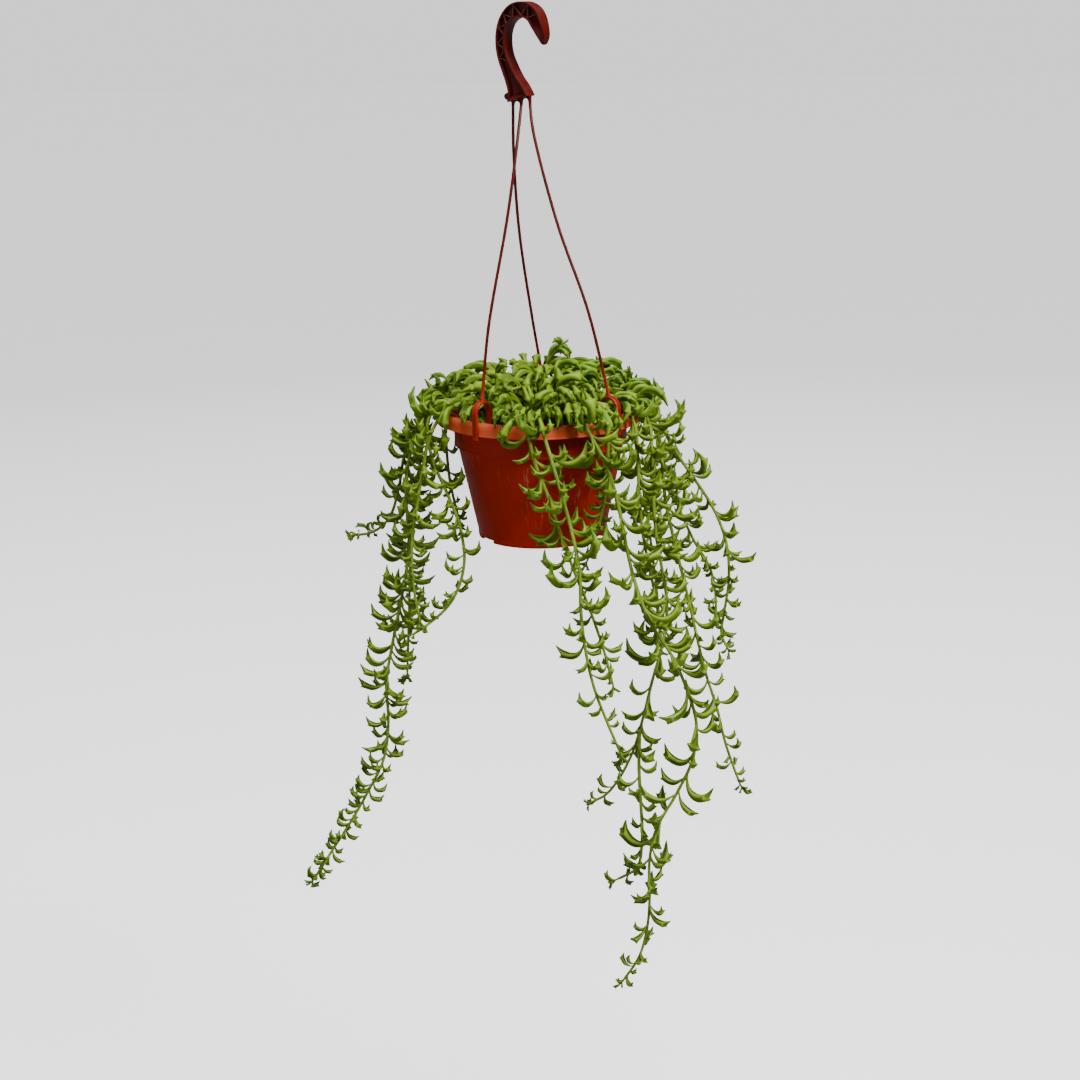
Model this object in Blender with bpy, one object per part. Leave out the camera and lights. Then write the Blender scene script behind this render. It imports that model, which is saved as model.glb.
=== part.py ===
"""Potted string of dolphins in a hanging plastic pot.

Metres, +Z up. The origin is the seat of the hook, where the part hangs. The pot, the soil, the
hanger, the trailing strands and the mat shoots are all built around the pot frame: an empty on
the pot's axis in the plane of the rim's top. Sizes below are millimetres in that frame, with X to
the right, Y to the back and Z up, and each mesh is scaled to metres as it is made.
"""
import math
import random

import bmesh
import bpy
from mathutils import Matrix, Vector, noise

MM = 0.001

# Where the rim's centre lies below and beside the hook's seat
RIM_DROP = 282.0
POT_OFFSET_X = 4.0

# Pot
RIM_RADIUS = 75.0
RIM_SKIRT = 9.0
RIM_WALL = 1.6
RIM_BEVEL = 1.6
MOUTH_RADIUS = 66.6
MOUTH_BEVEL = 1.2
POT_HEIGHT = 97.0
COLLAR_RADIUS = 65.0
COLLAR_TAPER = 0.8
COLLAR_DEPTH = 26.0
STEP_HEIGHT = 1.4
BODY_RADIUS = 62.6
FOOT_RADIUS = 48.6
FOOT_WIDTH = 3.8
FOOT_HEIGHT = 3.0
WALL = 1.8
POT_SEGMENTS = 26
NOTCH_BEARINGS = (-60.0, 60.0, 180.0)
NOTCH_WIDTH = 18.0
DRAIN_COUNT = 4
DRAIN_RADIUS = 3.5
DRAIN_CIRCLE = 27.0

# Soil
SOIL_EDGE_DEPTH = 15.0
SOIL_CROWN = 4.5
SOIL_LUMP_WIDTH = 11.0
SOIL_LUMP_HEIGHT = 1.3
SOIL_GAP = 0.3
SOIL_SEGMENTS = 18
SOIL_RINGS = (48.0, 30.0, 12.0)
HOLE_DEPTH = 12.0
HOLE_RADIUS = 2.6
HOLE_SIDES = 4

# Hanger
HOOK_TURN = 38.0
HOOK_THICKNESS = 10.0
HOOK_FLANGE = 1.3
HOOK_WEB = 2.4
HOOK_RIB = 0.9
HOOK_POCKETS = 12
LEG_RADIUS = 1.15
LEG_SIDES = 5
CLIP_WIDTH = 4.6
CLIP_THICKNESS = 2.0
CLIP_GAP = 0.35
CLIP_TOP = 16.5
CLIP_INNER_RADIUS = 60.8
CLIP_BEARINGS = {"left": -38.0, "right": 47.5, "back": 178.5}
CLIP_FOOT = 2.4
CLIP_INNER_DEPTH = 7.5

# The hook's middle line and width in its own plane, from the tip round to the foot: along the
# plane, up from the seat, width
HOOK_LINE = [
    (15.6, -17.8, 3.4), (15.0, -13.0, 6.8), (11.6, -4.6, 9.2), (7.4, 2.0, 10.4),
    (0.0, 5.4, 10.8), (-9.2, 4.4, 10.2), (-16.4, -1.0, 8.6), (-20.2, -9.0, 8.0),
    (-21.0, -18.0, 8.0), (-19.4, -27.0, 8.2), (-15.4, -36.0, 9.0), (-11.4, -44.0, 10.6),
    (-7.9, -51.0, 14.6), (-6.4, -56.5, 18.6),
]
LEG_ROOTS = {"back": -14.0, "left": -6.2, "right": 1.6}
LEG_WAYS = {
    "left": [(-14, -13, 185), (-21, -25, 142), (-36, -45, 67)],
    "right": [(-1, -8, 204), (15, -23, 139), (36, -38, 77)],
    "back": [(-15.5, 18, 188), (-13, 38, 129), (-5, 57, 62)],
}
LEG_TOP = -54.0
KNOB_PLACE = (-17.2, -54.0)
KNOB_LINE = ((4.0, 1.3), (0.4, 1.3), (0.2, 2.2), (-2.4, 2.2))

# Plant
STEM_RADIUS = 1.5
STEM_TIP_RADIUS = 1.1
STEM_SIDES = 3
LEAF_LENGTH = 37.0
LEAF_DEPTH = 7.6
LEAF_THICKNESS = 3.9
LEAF_CLEARANCE = 0.6
POT_CLEARANCE = 1.1
LEAF_PITCH = 17.0
MAT_LEAF_PITCH = 9.6
LEAF_TRIES = 26
PITCH_SPREAD = (0.5, 1.5)
FIRST_LEAF = 9.0
FIRST_BRANCH_LEAF = 12.0
HANGING_SPREAD = (14.0, 46.0)
HANGING_TURN = (88.0, 165.0)
HANGING_LEAN = 0.5
MAT_SPREAD = (30.0, 65.0)
MAT_TURN = (95.0, 135.0)
SPIRAL = 137.5

# Leaves grow from this share of full size at a stem's tip, to full size this far from it
TIP_SHARE = 0.40
YOUNG_LENGTH = 190.0
YOUNG_LENGTHS = {"strand_left_long": 420.0}
SHOOT_YOUNG_LENGTH = 48.0

# Short shoots of the mat
SHOOT_COUNT = 18
SHOOT_ROOT_RADIUS = 31.0
SHOOT_REACH = (48.0, 80.0)
SHOOT_TOP = (6.0, 26.0)
SHOOT_SWING = 35.0
SHOOT_SPACING = 0.98
SEED = 1256

# Where each strand leaves the soil, how big and how far apart its leaves are, and the way it
# hangs: from the rim outwards and down to its tip, in the pot frame
STRANDS = [
    ("strand_left_inner", (-44, -10), 0.85, 0.95, [[
        (-74, -10, 6), (-84, -22, -7), (-79, -34, -35), (-64, -44, -69), (-58, -52, -103),
        (-73, -58, -140), (-100, -62, -158)]]),
    ("strand_left_long", (-42, 0), 0.85, 0.64, [[
        (-75, 2, 7), (-92, -2, -16), (-102, -8, -51), (-101, -20, -102), (-109, -30, -145),
        (-121, -38, -203), (-122, -42, -253), (-146, -46, -302), (-167, -50, -334),
        (-184, -52, -360)]]),
    ("strand_left_outer", (-45, 12), 0.75, 0.85, [[
        (-73, 17, 6), (-86, 20, -6), (-101, 20, -28), (-109, 18, -62), (-118, 18, -88),
        (-131, 22, -100), (-148, 26, -104)]]),
    ("strand_left_front", (-40, -22), 0.82, 0.85, [[
        (-69, -31, 6), (-80, -36, -10), (-90, -40, -52), (-97, -48, -94), (-96, -54, -127),
        (-92, -58, -150)]]),
    ("strand_left_back", (-42, 30), 0.85, 1.15, [[
        (-63, 39, 6), (-73, 49, -8), (-74, 54, -35), (-71, 56, -77), (-64, 58, -108)]]),
    ("strand_left_behind", (-46, 21), 0.85, 1.2, [[
        (-68, 28, 7), (-84, 38, -10), (-96, 44, -60), (-104, 46, -120), (-108, 44, -180),
        (-111, 41, -226)]]),
    ("strand_front_left", (-14, -46), 0.95, 1.2, [[
        (-11, -71, 6), (-9, -81, -3), (-5, -85, -22), (5, -88, -49), (12, -92, -72),
        (24, -98, -106), (38, -104, -143), (49, -108, -186)]]),
    ("strand_front_middle", (-1, -45), 0.95, 1.1, [[
        (-2, -71, 7), (3, -82, -3), (10, -92, -33), (17, -97, -54), (22, -104, -78),
        (26, -113, -102), (26, -118, -130), (34, -122, -179), (54, -124, -233)]]),
    ("strand_right_long", (19, -42), 1.05, 0.9, [[
        (28, -70, 6), (36, -81, -6), (50, -86, -37), (61, -94, -91), (72, -98, -131),
        (96, -102, -174), (110, -100, -227), (102, -100, -257), (76, -100, -310),
        (75, -98, -350), (69, -96, -400), (53, -94, -429)]]),
    ("strand_right_front", (29, -36), 0.9, 0.95, [[
        (42, -61, 6), (48, -72, -8), (47, -76, -32), (44, -78, -58), (36, -80, -84),
        (31, -80, -100)]]),
    ("strand_right_inner", (39, -24), 0.9, 0.95, [[
        (61, -41, 6), (70, -51, -10), (70, -57, -36), (71, -61, -60), (74, -62, -90),
        (82, -60, -130), (86, -58, -167)]]),
    ("strand_right_middle", (42, -13), 0.95, 0.88, [
        [(69, -27, 7), (80, -36, -8), (81, -50, -41), (82, -62, -77), (87, -68, -112),
         (90, -70, -146), (76, -74, -203), (69, -76, -231), (60, -74, -258), (44, -72, -283),
         (31, -72, -290)],
        [(69, -76, -231), (68, -84, -250), (68, -87, -272), (70, -87, -305), (66, -86, -337),
         (49, -85, -348)]]),
    ("strand_right_outer", (44, -2), 0.9, 0.95, [[
        (73, -7, 6), (85, -14, -10), (90, -22, -40), (92, -28, -67), (97, -30, -92),
        (111, -36, -153), (120, -38, -195), (130, -40, -228), (138, -40, -262),
        (149, -40, -293)]]),
    ("strand_right_sweep", (44, 10), 0.9, 0.9, [[
        (73, 13, 7), (87, 16, -10), (98, 14, -32), (116, 8, -59), (132, 2, -85),
        (142, -4, -118), (140, -8, -152), (136, -10, -178), (141, -12, -191)]]),
    ("strand_right_back", (42, 21), 0.9, 0.95, [[
        (68, 32, 6), (83, 42, -12), (92, 48, -42), (103, 50, -79), (117, 48, -115),
        (129, 48, -135), (137, 46, -158), (136, 44, -187)]]),
    ("strand_right_behind", (36, 31), 0.9, 1.25, [[
        (56, 49, 6), (67, 62, -10), (76, 72, -50), (85, 78, -110), (92, 78, -170),
        (96, 76, -222)]]),
    ("strand_back_right", (22, 41), 0.9, 1.25, [[
        (33, 66, 6), (39, 77, -8), (39, 82, -40), (36, 84, -80), (33, 85, -114)]]),
    ("strand_back_middle", (-9, 46), 0.9, 1.25, [[
        (-14, 73, 6), (-17, 84, -8), (-15, 88, -45), (-12, 90, -90), (-10, 92, -122)]]),
    ("strand_back_left", (-27, 40), 0.9, 1.25, [[
        (-42, 60, 6), (-50, 71, -8), (-50, 77, -45), (-45, 81, -85), (-42, 83, -114)]]),
    ("shoot_upright", (-12, 20), 1.0, 0.8, [[(-6, 19, 9), (4, 14, 28), (17, 8, 45)]]),
]


def polar(radius, bearing, height=0.0):
    """Point at a bearing in degrees from the front (-Y), positive towards +X."""
    angle = math.radians(bearing)
    return Vector((radius * math.sin(angle), -radius * math.cos(angle), height))


def smooth_path(points, steps=10):
    """Centripetal Catmull-Rom curve through the points."""
    pts = [Vector(p) for p in points]
    pts = [pts[0] * 2 - pts[1]] + pts + [pts[-1] * 2 - pts[-2]]
    path = [pts[1].copy()]
    for a, b, c, d in zip(pts, pts[1:], pts[2:], pts[3:]):
        t1 = (b - a).length ** 0.5
        t2 = t1 + (c - b).length ** 0.5
        t3 = t2 + (d - c).length ** 0.5
        for i in range(1, steps + 1):
            t = t1 + (t2 - t1) * i / steps
            a1 = a + (b - a) * (t / t1)
            a2 = b + (c - b) * ((t - t1) / (t2 - t1))
            a3 = c + (d - c) * ((t - t2) / (t3 - t2))
            b1 = a1 + (a2 - a1) * (t / t2)
            b2 = a2 + (a3 - a2) * ((t - t1) / (t3 - t1))
            path.append(b1 + (b2 - b1) * ((t - t1) / (t2 - t1)))
    return path


def thin_path(path, max_turn=0.27, max_step=26.0):
    """Keep only the points of a dense path that its bends and length need."""
    kept = [path[0]]
    for point, after in zip(path[1:], path[2:]):
        step = point - kept[-1]
        turn = step.angle(after - point, 0.0)
        if step.length >= max_step or (turn >= max_turn and step.length > 4.0):
            kept.append(point)
    kept.append(path[-1])
    return kept


def soil_height(x, y):
    """Height of the soil's lumpy surface at a place in the pot."""
    reach = math.hypot(x, y) / MOUTH_RADIUS
    lumps = SOIL_LUMP_HEIGHT * noise.noise(Vector((x, y, 0.0)) / SOIL_LUMP_WIDTH)
    return -SOIL_EDGE_DEPTH + SOIL_CROWN * (1.0 - reach * reach) + lumps


def stem_path(root, route):
    """Way of a stem: straight up from its hole, over, and on along its route."""
    x, y = root
    ground = soil_height(x, y)
    start = Vector((x, y, ground + 3.0))
    over = Vector(route[0])
    rise = start.lerp(over, 0.45)
    rise.z = over.z + 1.0
    hole_end = Vector((x, y, ground - HOLE_DEPTH))
    return [hole_end] + thin_path(smooth_path([start, rise, *route]))


class Space:
    """Spheres that are already taken, sorted into cubes so that neighbours are found fast."""

    CUBE = 9.0

    def __init__(self):
        self.cubes = {}

    def add(self, centre, radius, owner):
        """Take a sphere for an owner."""
        key = tuple(int(c // self.CUBE) for c in centre)
        self.cubes.setdefault(key, []).append((centre, radius, owner))

    def add_path(self, path, radius, owner, step=1.6):
        """Take a chain of spheres along a path."""
        for a, b in zip(path, path[1:]):
            count = max(1, math.ceil((b - a).length / step))
            for i in range(count):
                self.add(a.lerp(b, i / count), radius, owner)
        self.add(path[-1], radius, owner)

    def is_free(self, centre, radius, owner, own_share):
        """Say whether a sphere keeps clear of others, and mostly of its owner's own."""
        cx, cy, cz = (int(c // self.CUBE) for c in centre)
        for x in (cx - 1, cx, cx + 1):
            for y in (cy - 1, cy, cy + 1):
                for z in (cz - 1, cz, cz + 1):
                    for other, size, holder in self.cubes.get((x, y, z), ()):
                        reach = radius + size
                        if holder == owner:
                            reach *= own_share
                        else:
                            reach += LEAF_CLEARANCE
                        if (other - centre).length_squared < reach * reach:
                            return False
        return True


def clear_of_pot(point, radius):
    """Say whether a sphere keeps clear of the pot and of the soil in it."""
    gap = radius + POT_CLEARANCE
    out = math.hypot(point.x, point.y)
    mouth = MOUTH_RADIUS - 1.0 if point.z - gap > -1.0 else COLLAR_RADIUS - WALL - 1.0
    if out + gap < mouth and point.z > -SOIL_EDGE_DEPTH - 2.0:
        return point.z - gap > soil_height(point.x, point.y)
    if point.z - gap > 0.0 or out - gap > RIM_RADIUS:
        return True
    return point.z + gap < -RIM_SKIRT and out - gap > COLLAR_RADIUS


class Leaf:
    """A sickle-shaped leaf: a thin stalk, a fleshy curved blade, two fins and a point."""

    STEPS = 24
    # Depth and thickness along the leaf, as shares of the largest
    SHAPE = [(0.0, 0.28, 0.50), (0.20, 0.30, 0.52), (0.34, 0.70, 0.84), (0.52, 1.0, 1.0),
             (0.64, 0.94, 0.94), (0.80, 0.48, 0.60), (1.0, 0.05, 0.10)]
    PROBES = (0.06, 0.13, 0.22, 0.31, 0.40, 0.48, 0.56, 0.64, 0.74, 0.87, 1.0)
    FIN_AT = 0.70
    FIN_REACH = 2.0

    def __init__(self, root, heading, inward, length, turn):
        self.root = root
        self.length = length
        self.scale = length / LEAF_LENGTH
        self.side = heading.cross(inward).normalized()
        self.inward = self.side.cross(heading).normalized()
        self.heading = heading.normalized()
        self.turn = turn
        self.points = self._trace()

    def _trace(self):
        """Points along the spine, which bends most at its middle."""
        points = [self.root]
        for i in range(self.STEPS):
            course, _ = self.frame((i + 0.5) / self.STEPS)
            points.append(points[-1] + course * (self.length / self.STEPS))
        return points

    def frame(self, t):
        """Heading and inward direction at a share of the leaf's length."""
        angle = self.turn * (0.5 - 0.5 * math.cos(math.pi * t))
        course = self.heading * math.cos(angle) + self.inward * math.sin(angle)
        inward = self.inward * math.cos(angle) - self.heading * math.sin(angle)
        return course, inward

    def point(self, t):
        """Point of the spine at a share of the leaf's length."""
        place = t * self.STEPS
        i = min(int(place), self.STEPS - 1)
        return self.points[i].lerp(self.points[i + 1], place - i)

    def section(self, t):
        """Depth and thickness at a share of the leaf's length."""
        for (t0, d0, w0), (t1, d1, w1) in zip(self.SHAPE, self.SHAPE[1:]):
            if t <= t1:
                f = (t - t0) / (t1 - t0)
                break
        small = max(self.scale, 0.6)
        depth = (d0 + (d1 - d0) * f) * LEAF_DEPTH * small
        return depth, (w0 + (w1 - w0) * f) * LEAF_THICKNESS * small

    def fins(self):
        """Tips of the two fins, on the outer side of the bend."""
        course, inward = self.frame(self.FIN_AT)
        depth, thickness = self.section(0.62)
        base = self.point(self.FIN_AT) - inward * (0.50 * depth) + course * 0.8
        reach = thickness / 2 + self.FIN_REACH * self.scale
        return [base + self.side * reach, base - self.side * reach]

    def probes(self):
        """Spheres that hold the leaf beyond its root."""
        spheres = [(self.point(t), max(self.section(t)) / 2, t) for t in self.PROBES]
        for tip in self.fins():
            inside = tip.lerp(self.point(0.5), 0.4)
            spheres += [(tip, 0.7, self.FIN_AT), (inside, 0.9, self.FIN_AT)]
        return spheres

    def fits(self, space, owner):
        """Say whether the leaf keeps clear of all that is there."""
        for centre, radius, t in self.probes():
            if not clear_of_pot(centre, radius):
                return False
            if not space.is_free(centre, radius, owner, 0.62 if t > 0.4 else 0.0):
                return False
        return True

    def take(self, space, owner):
        """Take the leaf's room."""
        for centre, radius, _ in self.probes():
            space.add(centre, radius, owner)


def is_hanging(tangent):
    """Say whether a stem runs downwards rather than over the mat."""
    return tangent.z < -0.45


def leaf_course(rng, tangent, azimuth):
    """Heading and bend of a leaf: hooked upwards on a hanging stem, arched over on a mat."""
    across = tangent.orthogonal().normalized()
    out = Matrix.Rotation(azimuth, 3, tangent) @ across
    if is_hanging(tangent):
        spread = math.radians(rng.uniform(*HANGING_SPREAD))
        lean = rng.uniform(-HANGING_LEAN, HANGING_LEAN)
        bend = Vector((0, 0, 1)) + out * 0.6 + tangent.cross(out) * lean
        turn = math.radians(rng.uniform(*HANGING_TURN))
    else:
        out.z = abs(out.z) * 0.9 + 0.15
        out.normalize()
        spread = math.radians(rng.uniform(*MAT_SPREAD))
        bend = Vector((rng.uniform(-0.6, 0.6), rng.uniform(-0.6, 0.6), -1.0))
        turn = math.radians(rng.uniform(*MAT_TURN))
    heading = tangent * math.cos(spread) + out * math.sin(spread)
    bend -= heading * bend.dot(heading)
    return heading, bend.normalized(), turn


def path_lengths(path):
    """Distance of each point of a path from its start."""
    lengths = [0.0]
    for a, b in zip(path, path[1:]):
        lengths.append(lengths[-1] + (b - a).length)
    return lengths


def place_leaves(rng, space, owner, path, first, size, spacing):
    """Set leaves along a stem by a spiral rule, each where it finds room."""
    lengths = path_lengths(path)
    total = lengths[-1]
    is_shoot = owner.startswith("shoot")
    young = SHOOT_YOUNG_LENGTH if is_shoot else YOUNG_LENGTHS.get(owner, YOUNG_LENGTH)
    leaves = []
    azimuth = rng.uniform(0, 2 * math.pi)
    s = first
    while s < total - 1.0:
        i = next(k for k in range(len(lengths) - 1) if lengths[k + 1] > s)
        a, b = path[i], path[i + 1]
        root = a.lerp(b, (s - lengths[i]) / (lengths[i + 1] - lengths[i]))
        tangent = (b - a).normalized()
        youth = min(1.0, TIP_SHARE + (total - s) / young)
        length = LEAF_LENGTH * size * youth * rng.uniform(0.86, 1.10)
        for attempt in range(LEAF_TRIES):
            turned = azimuth + rng.uniform(-0.35, 0.35) * (1 + attempt)
            heading, bend, turn = leaf_course(rng, tangent, turned)
            leaf = Leaf(root, heading, bend, length * (1.0 - 0.012 * attempt), turn)
            if leaf.fits(space, owner):
                leaf.take(space, owner)
                leaves.append(leaf)
                break
        azimuth += math.radians(SPIRAL)
        pitch = LEAF_PITCH if is_hanging(tangent) else MAT_LEAF_PITCH
        s += pitch * spacing * (0.30 + 0.70 * youth) * rng.uniform(*PITCH_SPREAD)
    return leaves


def shoot_path(rng, number):
    """A creeping shoot of the mat: up from the soil and out towards the rim."""
    bearing = SPIRAL * number + rng.uniform(-20, 20)
    radius = SHOOT_ROOT_RADIUS * math.sqrt((number + 0.4) / SHOOT_COUNT)
    root = polar(radius, bearing)
    swing = rng.uniform(-SHOOT_SWING, SHOOT_SWING)
    reach = rng.uniform(*SHOOT_REACH)
    top = rng.uniform(*SHOOT_TOP)
    middle = polar((radius + reach) * 0.45, bearing + swing * 0.4, top)
    end = polar(reach, bearing + swing, top * 0.8 + rng.uniform(-4, 6))
    return stem_path((root.x, root.y), [middle, end])


def path_is_free(path, radius, space, owner):
    """Say whether a stem's room is free."""
    for a, b in zip(path[1:], path[2:]):
        count = max(1, math.ceil((b - a).length / 1.6))
        for i in range(count + 1):
            point = a.lerp(b, i / count)
            if not space.is_free(point, radius, owner, 0.0):
                return False
            if point.z > -8.0 and not clear_of_pot(point, radius):
                return False
    return True


def grow_plant(space):
    """Lay out every stem and leaf: name, stem paths and leaves of each node."""
    plan = []
    for name, root, size, spacing, routes in STRANDS:
        paths = [stem_path(root, routes[0])]
        paths += [thin_path(smooth_path(route)) for route in routes[1:]]
        for path in paths:
            space.add_path(path, STEM_RADIUS, name)
        plan.append((name, paths, size, spacing))
    rng = random.Random(SEED)
    for number in range(SHOOT_COUNT):
        name = "shoot_%02d" % (number + 1)
        for _ in range(400):
            path = shoot_path(rng, number)
            if path_is_free(path, STEM_RADIUS + 0.3, space, name):
                space.add_path(path, STEM_RADIUS, name)
                plan.append((name, [path], 1.0, SHOOT_SPACING))
                break
    plant = []
    for number, (name, paths, size, spacing) in enumerate(plan):
        rng = random.Random(SEED + 17 * number)
        leaves = []
        for i, path in enumerate(paths):
            first = HOLE_DEPTH + FIRST_LEAF if i == 0 else FIRST_BRANCH_LEAF
            leaves += place_leaves(rng, space, name, path, first, size, spacing)
        plant.append((name, paths, leaves))
    return plant


def material(name, colour, roughness):
    """Principled material of one colour, or the one already made."""
    finish = bpy.data.materials.get(name)
    if finish is None:
        finish = bpy.data.materials.new(name)
        finish.use_nodes = True
        shader = finish.node_tree.nodes["Principled BSDF"]
        shader.inputs["Base Color"].default_value = (*colour, 1.0)
        shader.inputs["Roughness"].default_value = roughness
        shader.inputs["Metallic"].default_value = 0.0
    return finish


def make_object(name, shape, finish, smooth_angle=None):
    """Object of a bmesh in pot-frame millimetres, parented to the pot's axis."""
    bmesh.ops.recalc_face_normals(shape, faces=shape.faces)
    bmesh.ops.scale(shape, vec=(MM, MM, MM), verts=shape.verts)
    mesh = bpy.data.meshes.new(name)
    shape.to_mesh(mesh)
    shape.free()
    if smooth_angle is not None:
        mesh.shade_smooth()
        mesh.set_sharp_from_angle(angle=math.radians(smooth_angle))
    body = bpy.data.objects.new(name, mesh)
    body.parent = bpy.data.objects["pot_axis"]
    bpy.context.scene.collection.objects.link(body)
    body.data.materials.append(finish)
    return body


# Ways to join bodies and to cut the result to triangles, tried in turn until one is closed
SOLVERS = [("EXACT", "BEAUTY"), ("EXACT", "EAR_CLIP"), ("MANIFOLD", "BEAUTY"),
           ("MANIFOLD", "EAR_CLIP")]


def cut_to_triangles(mesh, method):
    """Cut a mesh's faces to triangles; say whether each edge then lies between two faces."""
    shape = bmesh.new()
    shape.from_mesh(mesh)
    bmesh.ops.triangulate(shape, faces=shape.faces[:], ngon_method=method)
    closed = all(len(edge.link_faces) == 2 for edge in shape.edges)
    shape.to_mesh(mesh)
    shape.free()
    return closed


def apply_boolean(body, pieces, operation):
    """Join pieces to a body, or cut them from it, by one Boolean on their collection."""
    group = bpy.data.collections.new(body.name + "_pieces")
    bpy.context.scene.collection.children.link(group)
    for piece in pieces:
        bpy.context.scene.collection.objects.unlink(piece)
        group.objects.link(piece)
    joint = body.modifiers.new("joined", "BOOLEAN")
    joint.operation = operation
    joint.operand_type = "COLLECTION"
    joint.collection = group
    for joint.solver, method in SOLVERS:
        depsgraph = bpy.context.evaluated_depsgraph_get()
        joined = bpy.data.meshes.new_from_object(body.evaluated_get(depsgraph))
        if cut_to_triangles(joined, method):
            break
    body.modifiers.clear()
    body.data = joined
    for piece in pieces:
        bpy.data.objects.remove(piece)
    bpy.data.collections.remove(group)


def ring_faces(shape, rings, closed=False):
    """Faces between successive rings of the same number of points."""
    pairs = list(zip(rings, rings[1:]))
    if closed:
        pairs.append((rings[-1], rings[0]))
    for low, high in pairs:
        for i, start in enumerate(low):
            after = (i + 1) % len(low)
            shape.faces.new((start, low[after], high[after], high[i]))


def add_sweep(shape, path, sections, side=None):
    """Closed bar along a path: each section is a list of (across, out) offsets."""
    rings = []
    across = None
    for i, point in enumerate(path):
        before = path[max(i - 1, 0)]
        after = path[min(i + 1, len(path) - 1)]
        course = (after - before).normalized()
        if side is not None:
            across = side
        elif across is None:
            across = course.orthogonal().normalized()
        else:
            across = (across - course * across.dot(course)).normalized()
        out = course.cross(across)
        rings.append([shape.verts.new(point + across * a + out * b) for a, b in sections[i]])
    ring_faces(shape, rings)
    shape.faces.new(rings[0])
    shape.faces.new(rings[-1])


def round_section(radius, sides):
    """Offsets of a regular polygon."""
    turns = [2 * math.pi * i / sides for i in range(sides)]
    return [(radius * math.cos(turn), radius * math.sin(turn)) for turn in turns]


def add_box(shape, centre, size, turn=0.0):
    """Box turned about Z."""
    place = Matrix.Translation(centre) @ Matrix.Rotation(turn, 4, "Z")
    box = bmesh.ops.create_cube(shape, size=1.0, matrix=place @ Matrix.Diagonal((*size, 1.0)))
    return box["verts"]


def add_turned(shape, profile, segments):
    """Solid of revolution about the pot's axis; a profile point at radius 0 is a pole."""
    rings = []
    for radius, height in profile:
        if radius == 0.0:
            rings.append([shape.verts.new((0.0, 0.0, height))])
        else:
            rings.append([shape.verts.new(polar(radius, 360.0 * i / segments, height))
                          for i in range(segments)])
    for low, high in zip(rings, rings[1:] + rings[:1]):
        if len(low) == 1 and len(high) == 1:
            continue
        for i in range(segments):
            after = (i + 1) % segments
            if len(low) == 1:
                shape.faces.new((low[0], high[after], high[i]))
            elif len(high) == 1:
                shape.faces.new((low[i], low[after], high[0]))
            else:
                shape.faces.new((low[i], low[after], high[after], high[i]))


def build_pot(finish):
    """Thin-walled pot with a turned-down rim, a collar, a step, a foot ring and drain holes."""
    floor = -POT_HEIGHT + FOOT_HEIGHT
    skirt_in = RIM_RADIUS - RIM_WALL
    collar_in = COLLAR_RADIUS - WALL
    foot_in = FOOT_RADIUS - FOOT_WIDTH
    profile = [
        (MOUTH_RADIUS, -MOUTH_BEVEL), (MOUTH_RADIUS + MOUTH_BEVEL, 0.0),
        (RIM_RADIUS - RIM_BEVEL, 0.0), (RIM_RADIUS, -RIM_BEVEL), (RIM_RADIUS, -RIM_SKIRT),
        (skirt_in, -RIM_SKIRT), (skirt_in - 0.4, -RIM_WALL - 0.6),
        (COLLAR_RADIUS, -RIM_WALL - 1.0), (COLLAR_RADIUS - COLLAR_TAPER, -COLLAR_DEPTH),
        (BODY_RADIUS, -COLLAR_DEPTH - STEP_HEIGHT), (FOOT_RADIUS, -POT_HEIGHT),
        (foot_in, -POT_HEIGHT), (foot_in - 0.5, floor), (0.0, floor),
        (0.0, floor + WALL), (FOOT_RADIUS - WALL, floor + WALL),
        (BODY_RADIUS - WALL, -COLLAR_DEPTH - 1.0),
        (collar_in - COLLAR_TAPER, -COLLAR_DEPTH + STEP_HEIGHT), (collar_in, -2 * WALL),
    ]
    shape = bmesh.new()
    add_turned(shape, profile, POT_SEGMENTS)
    pot = make_object("pot", shape, finish, smooth_angle=30.0)
    cutters = []
    for i, bearing in enumerate(NOTCH_BEARINGS):
        shape = bmesh.new()
        place = polar(FOOT_RADIUS - FOOT_WIDTH / 2, bearing, floor - FOOT_HEIGHT / 2 - 0.25)
        add_box(shape, place, (NOTCH_WIDTH, FOOT_WIDTH + 4.0, FOOT_HEIGHT - 0.5),
                math.radians(bearing))
        cutters.append(make_object("notch_%d" % i, shape, finish))
    for i in range(DRAIN_COUNT):
        shape = bmesh.new()
        place = Matrix.Translation(polar(DRAIN_CIRCLE, 360.0 * (i + 0.5) / DRAIN_COUNT, floor))
        bmesh.ops.create_cone(shape, cap_ends=True, segments=8, radius1=DRAIN_RADIUS,
                              radius2=DRAIN_RADIUS, depth=4 * WALL, matrix=place)
        cutters.append(make_object("drain_%d" % i, shape, finish))
    apply_boolean(pot, cutters, "DIFFERENCE")
    return pot


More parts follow.
